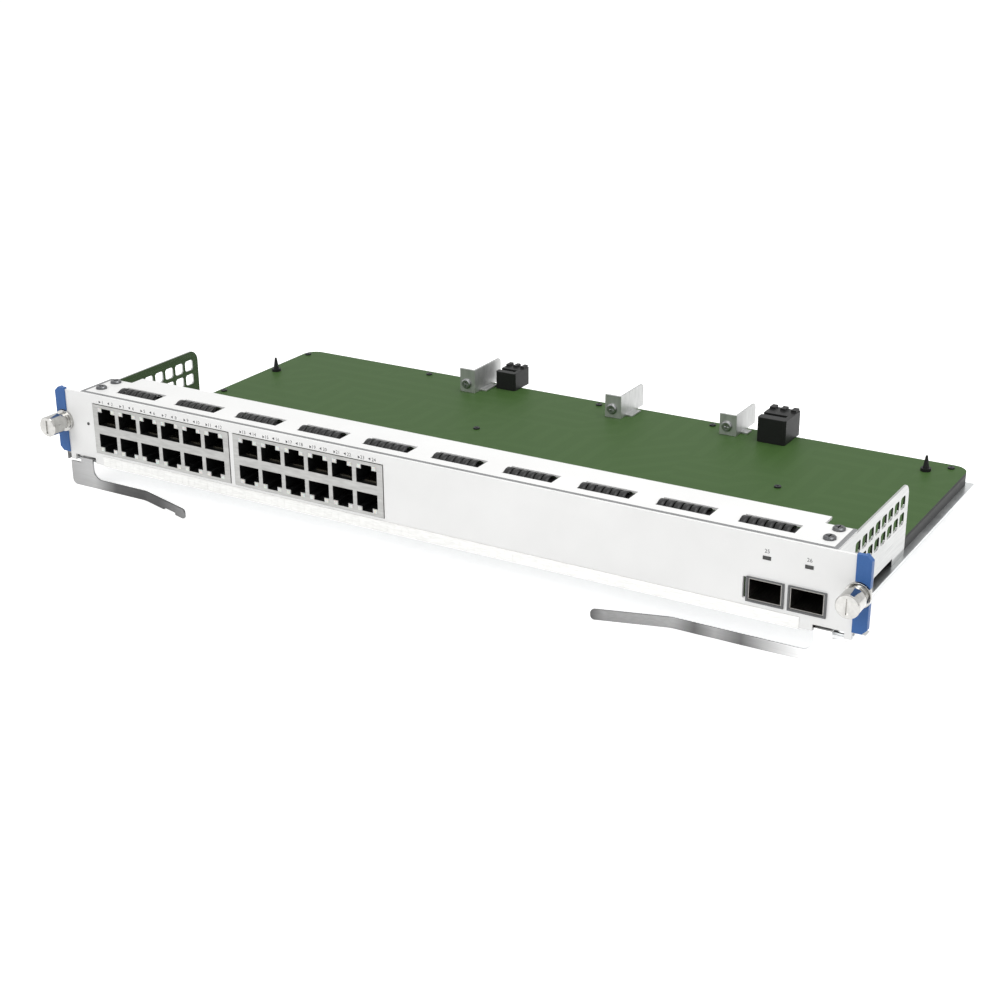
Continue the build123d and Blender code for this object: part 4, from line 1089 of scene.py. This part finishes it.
def pale_lcp():
    """Liquid crystal polymer: bone grey, dry looking, with flow lines from the gate."""
    finish, tree, shader = new_finish("pale_liquid_crystal_polymer", Roughness=0.5, IOR=1.6)
    flow = grain(tree, 2.0 * MM, (5, 1, 1), detail=4.0)
    tint(tree, shader, flow, (0.3, "#B3AFA4"), (0.7, "#C4C0B6"))
    relief(tree, shader, flow, 0.008 * MM)
    return finish


lcp = pale_lcp()
for side in ("left", "right"):
    softened(f"guide_module_{side}", MOULDED_RADIUS, nylon, "card")
    dress(nylon, f"board_post_{side}")
for number in (1, 2, 3):
    dress(lcp, f"backplane_connector_{number}")


# Floor, light and camera.
# A plain white floor and a white surround, two large soft lamps, and a camera with the
# photograph's lens and angle.

FLOOR_HALF = 6.0
FLOOR_DROP = 0.1 * MM
FLOOR_LIFT = 0.52
SURROUND_LIGHT = 0.55
LENS = 62.97
SENSOR_WIDTH = 36.0
CAMERA_PLACE = Vector((0.4183, -0.6218, 0.3007))
AZIMUTH, ELEVATION, ROLL = math.radians(30.825), math.radians(21.907), math.radians(-0.38)


def seen_directly(tree):
    """1 for rays from the camera, or by way of gloss or glass, and 0 for rays that carry light."""
    path = add(tree, "ShaderNodeLightPath").outputs
    first = maths(tree, "MAXIMUM", path["Is Camera Ray"], path["Is Glossy Ray"])
    return maths(tree, "MAXIMUM", first, path["Is Transmission Ray"])


def white_floor():
    """Matt white paper: it takes the shadow, and the rest of it comes up to the white surround."""
    finish = bpy.data.materials.new("white_paper")
    finish.use_nodes = True
    tree = finish.node_tree
    tree.nodes.clear()
    paper = add(tree, "ShaderNodeBsdfDiffuse", {"Color": linear("#F2F2F2")})
    lift = maths(tree, "MULTIPLY", seen_directly(tree), FLOOR_LIFT)
    glow = add(tree, "ShaderNodeEmission", {"Color": (1, 1, 1, 1), "Strength": lift})
    both = add(tree, "ShaderNodeAddShader", {0: paper.outputs[0], 1: glow.outputs[0]})
    add(tree, "ShaderNodeOutputMaterial", {"Surface": both.outputs[0]})
    return finish


def make_floor():
    """A square floor just under the card's lowest point."""
    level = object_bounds()[0].z - FLOOR_DROP
    signs = ((-1, -1), (1, -1), (1, 1), (-1, 1))
    corners = [(x * FLOOR_HALF, y * FLOOR_HALF, level) for x, y in signs]
    mesh = bpy.data.meshes.new("floor")
    mesh.from_pydata(corners, [], [(0, 1, 2, 3)])
    mesh.materials.append(white_floor())
    floor = bpy.data.objects.new("floor", mesh)
    scene.collection.objects.link(floor)


def make_world():
    """A surround that looks white and lights the card less than it looks."""
    world = bpy.data.worlds.new("studio")
    world.use_nodes = True
    tree = world.node_tree
    tree.nodes.clear()
    level = add(
        tree, "ShaderNodeMapRange",
        {"Value": seen_directly(tree), "To Min": SURROUND_LIGHT, "To Max": 1.0})
    surround = add(
        tree, "ShaderNodeBackground", {"Color": (1, 1, 1, 1), "Strength": level.outputs["Result"]})
    add(tree, "ShaderNodeOutputWorld", {"Surface": surround.outputs[0]})
    scene.world = world


def make_lamp(name, place, target, size, power):
    """A round lamp of a size in metres and a power in watts, turned to its target."""
    data = bpy.data.lights.new(name, "AREA")
    data.shape = "DISK"
    data.size = size
    data.energy = power
    lamp = bpy.data.objects.new(name, data)
    lamp.location = place
    lamp.rotation_euler = (Vector(target) - Vector(place)).to_track_quat("-Z", "Y").to_euler()
    scene.collection.objects.link(lamp)


def make_camera():
    """The photograph's camera, from its place, its three angles and its lens."""
    forward = Vector((
        -math.sin(AZIMUTH) * math.cos(ELEVATION), math.cos(AZIMUTH) * math.cos(ELEVATION),
        -math.sin(ELEVATION)))
    level = Vector((math.cos(AZIMUTH), math.sin(AZIMUTH), 0))
    above = level.cross(forward)
    right = math.cos(ROLL) * level + math.sin(ROLL) * above
    up = math.cos(ROLL) * above - math.sin(ROLL) * level
    data = bpy.data.cameras.new("camera")
    data.lens = LENS
    data.sensor_width = SENSOR_WIDTH
    data.clip_start = 0.01
    camera = bpy.data.objects.new("camera", data)
    turned = Matrix((right, up, -forward)).transposed().to_4x4()
    camera.matrix_world = Matrix.Translation(CAMERA_PLACE) @ turned
    scene.collection.objects.link(camera)
    scene.camera = camera


make_floor()
make_world()
make_lamp("front_lamp", place=(-0.5, -1.6, 1.2), target=(0, 0, 0), size=1.2, power=14.0)
make_lamp("top_lamp", place=(0.5, 0.15, 1.2), target=(0.1, 0.1, 0), size=1.0, power=9.5)
make_camera()
scene.view_settings.view_transform = "Standard"
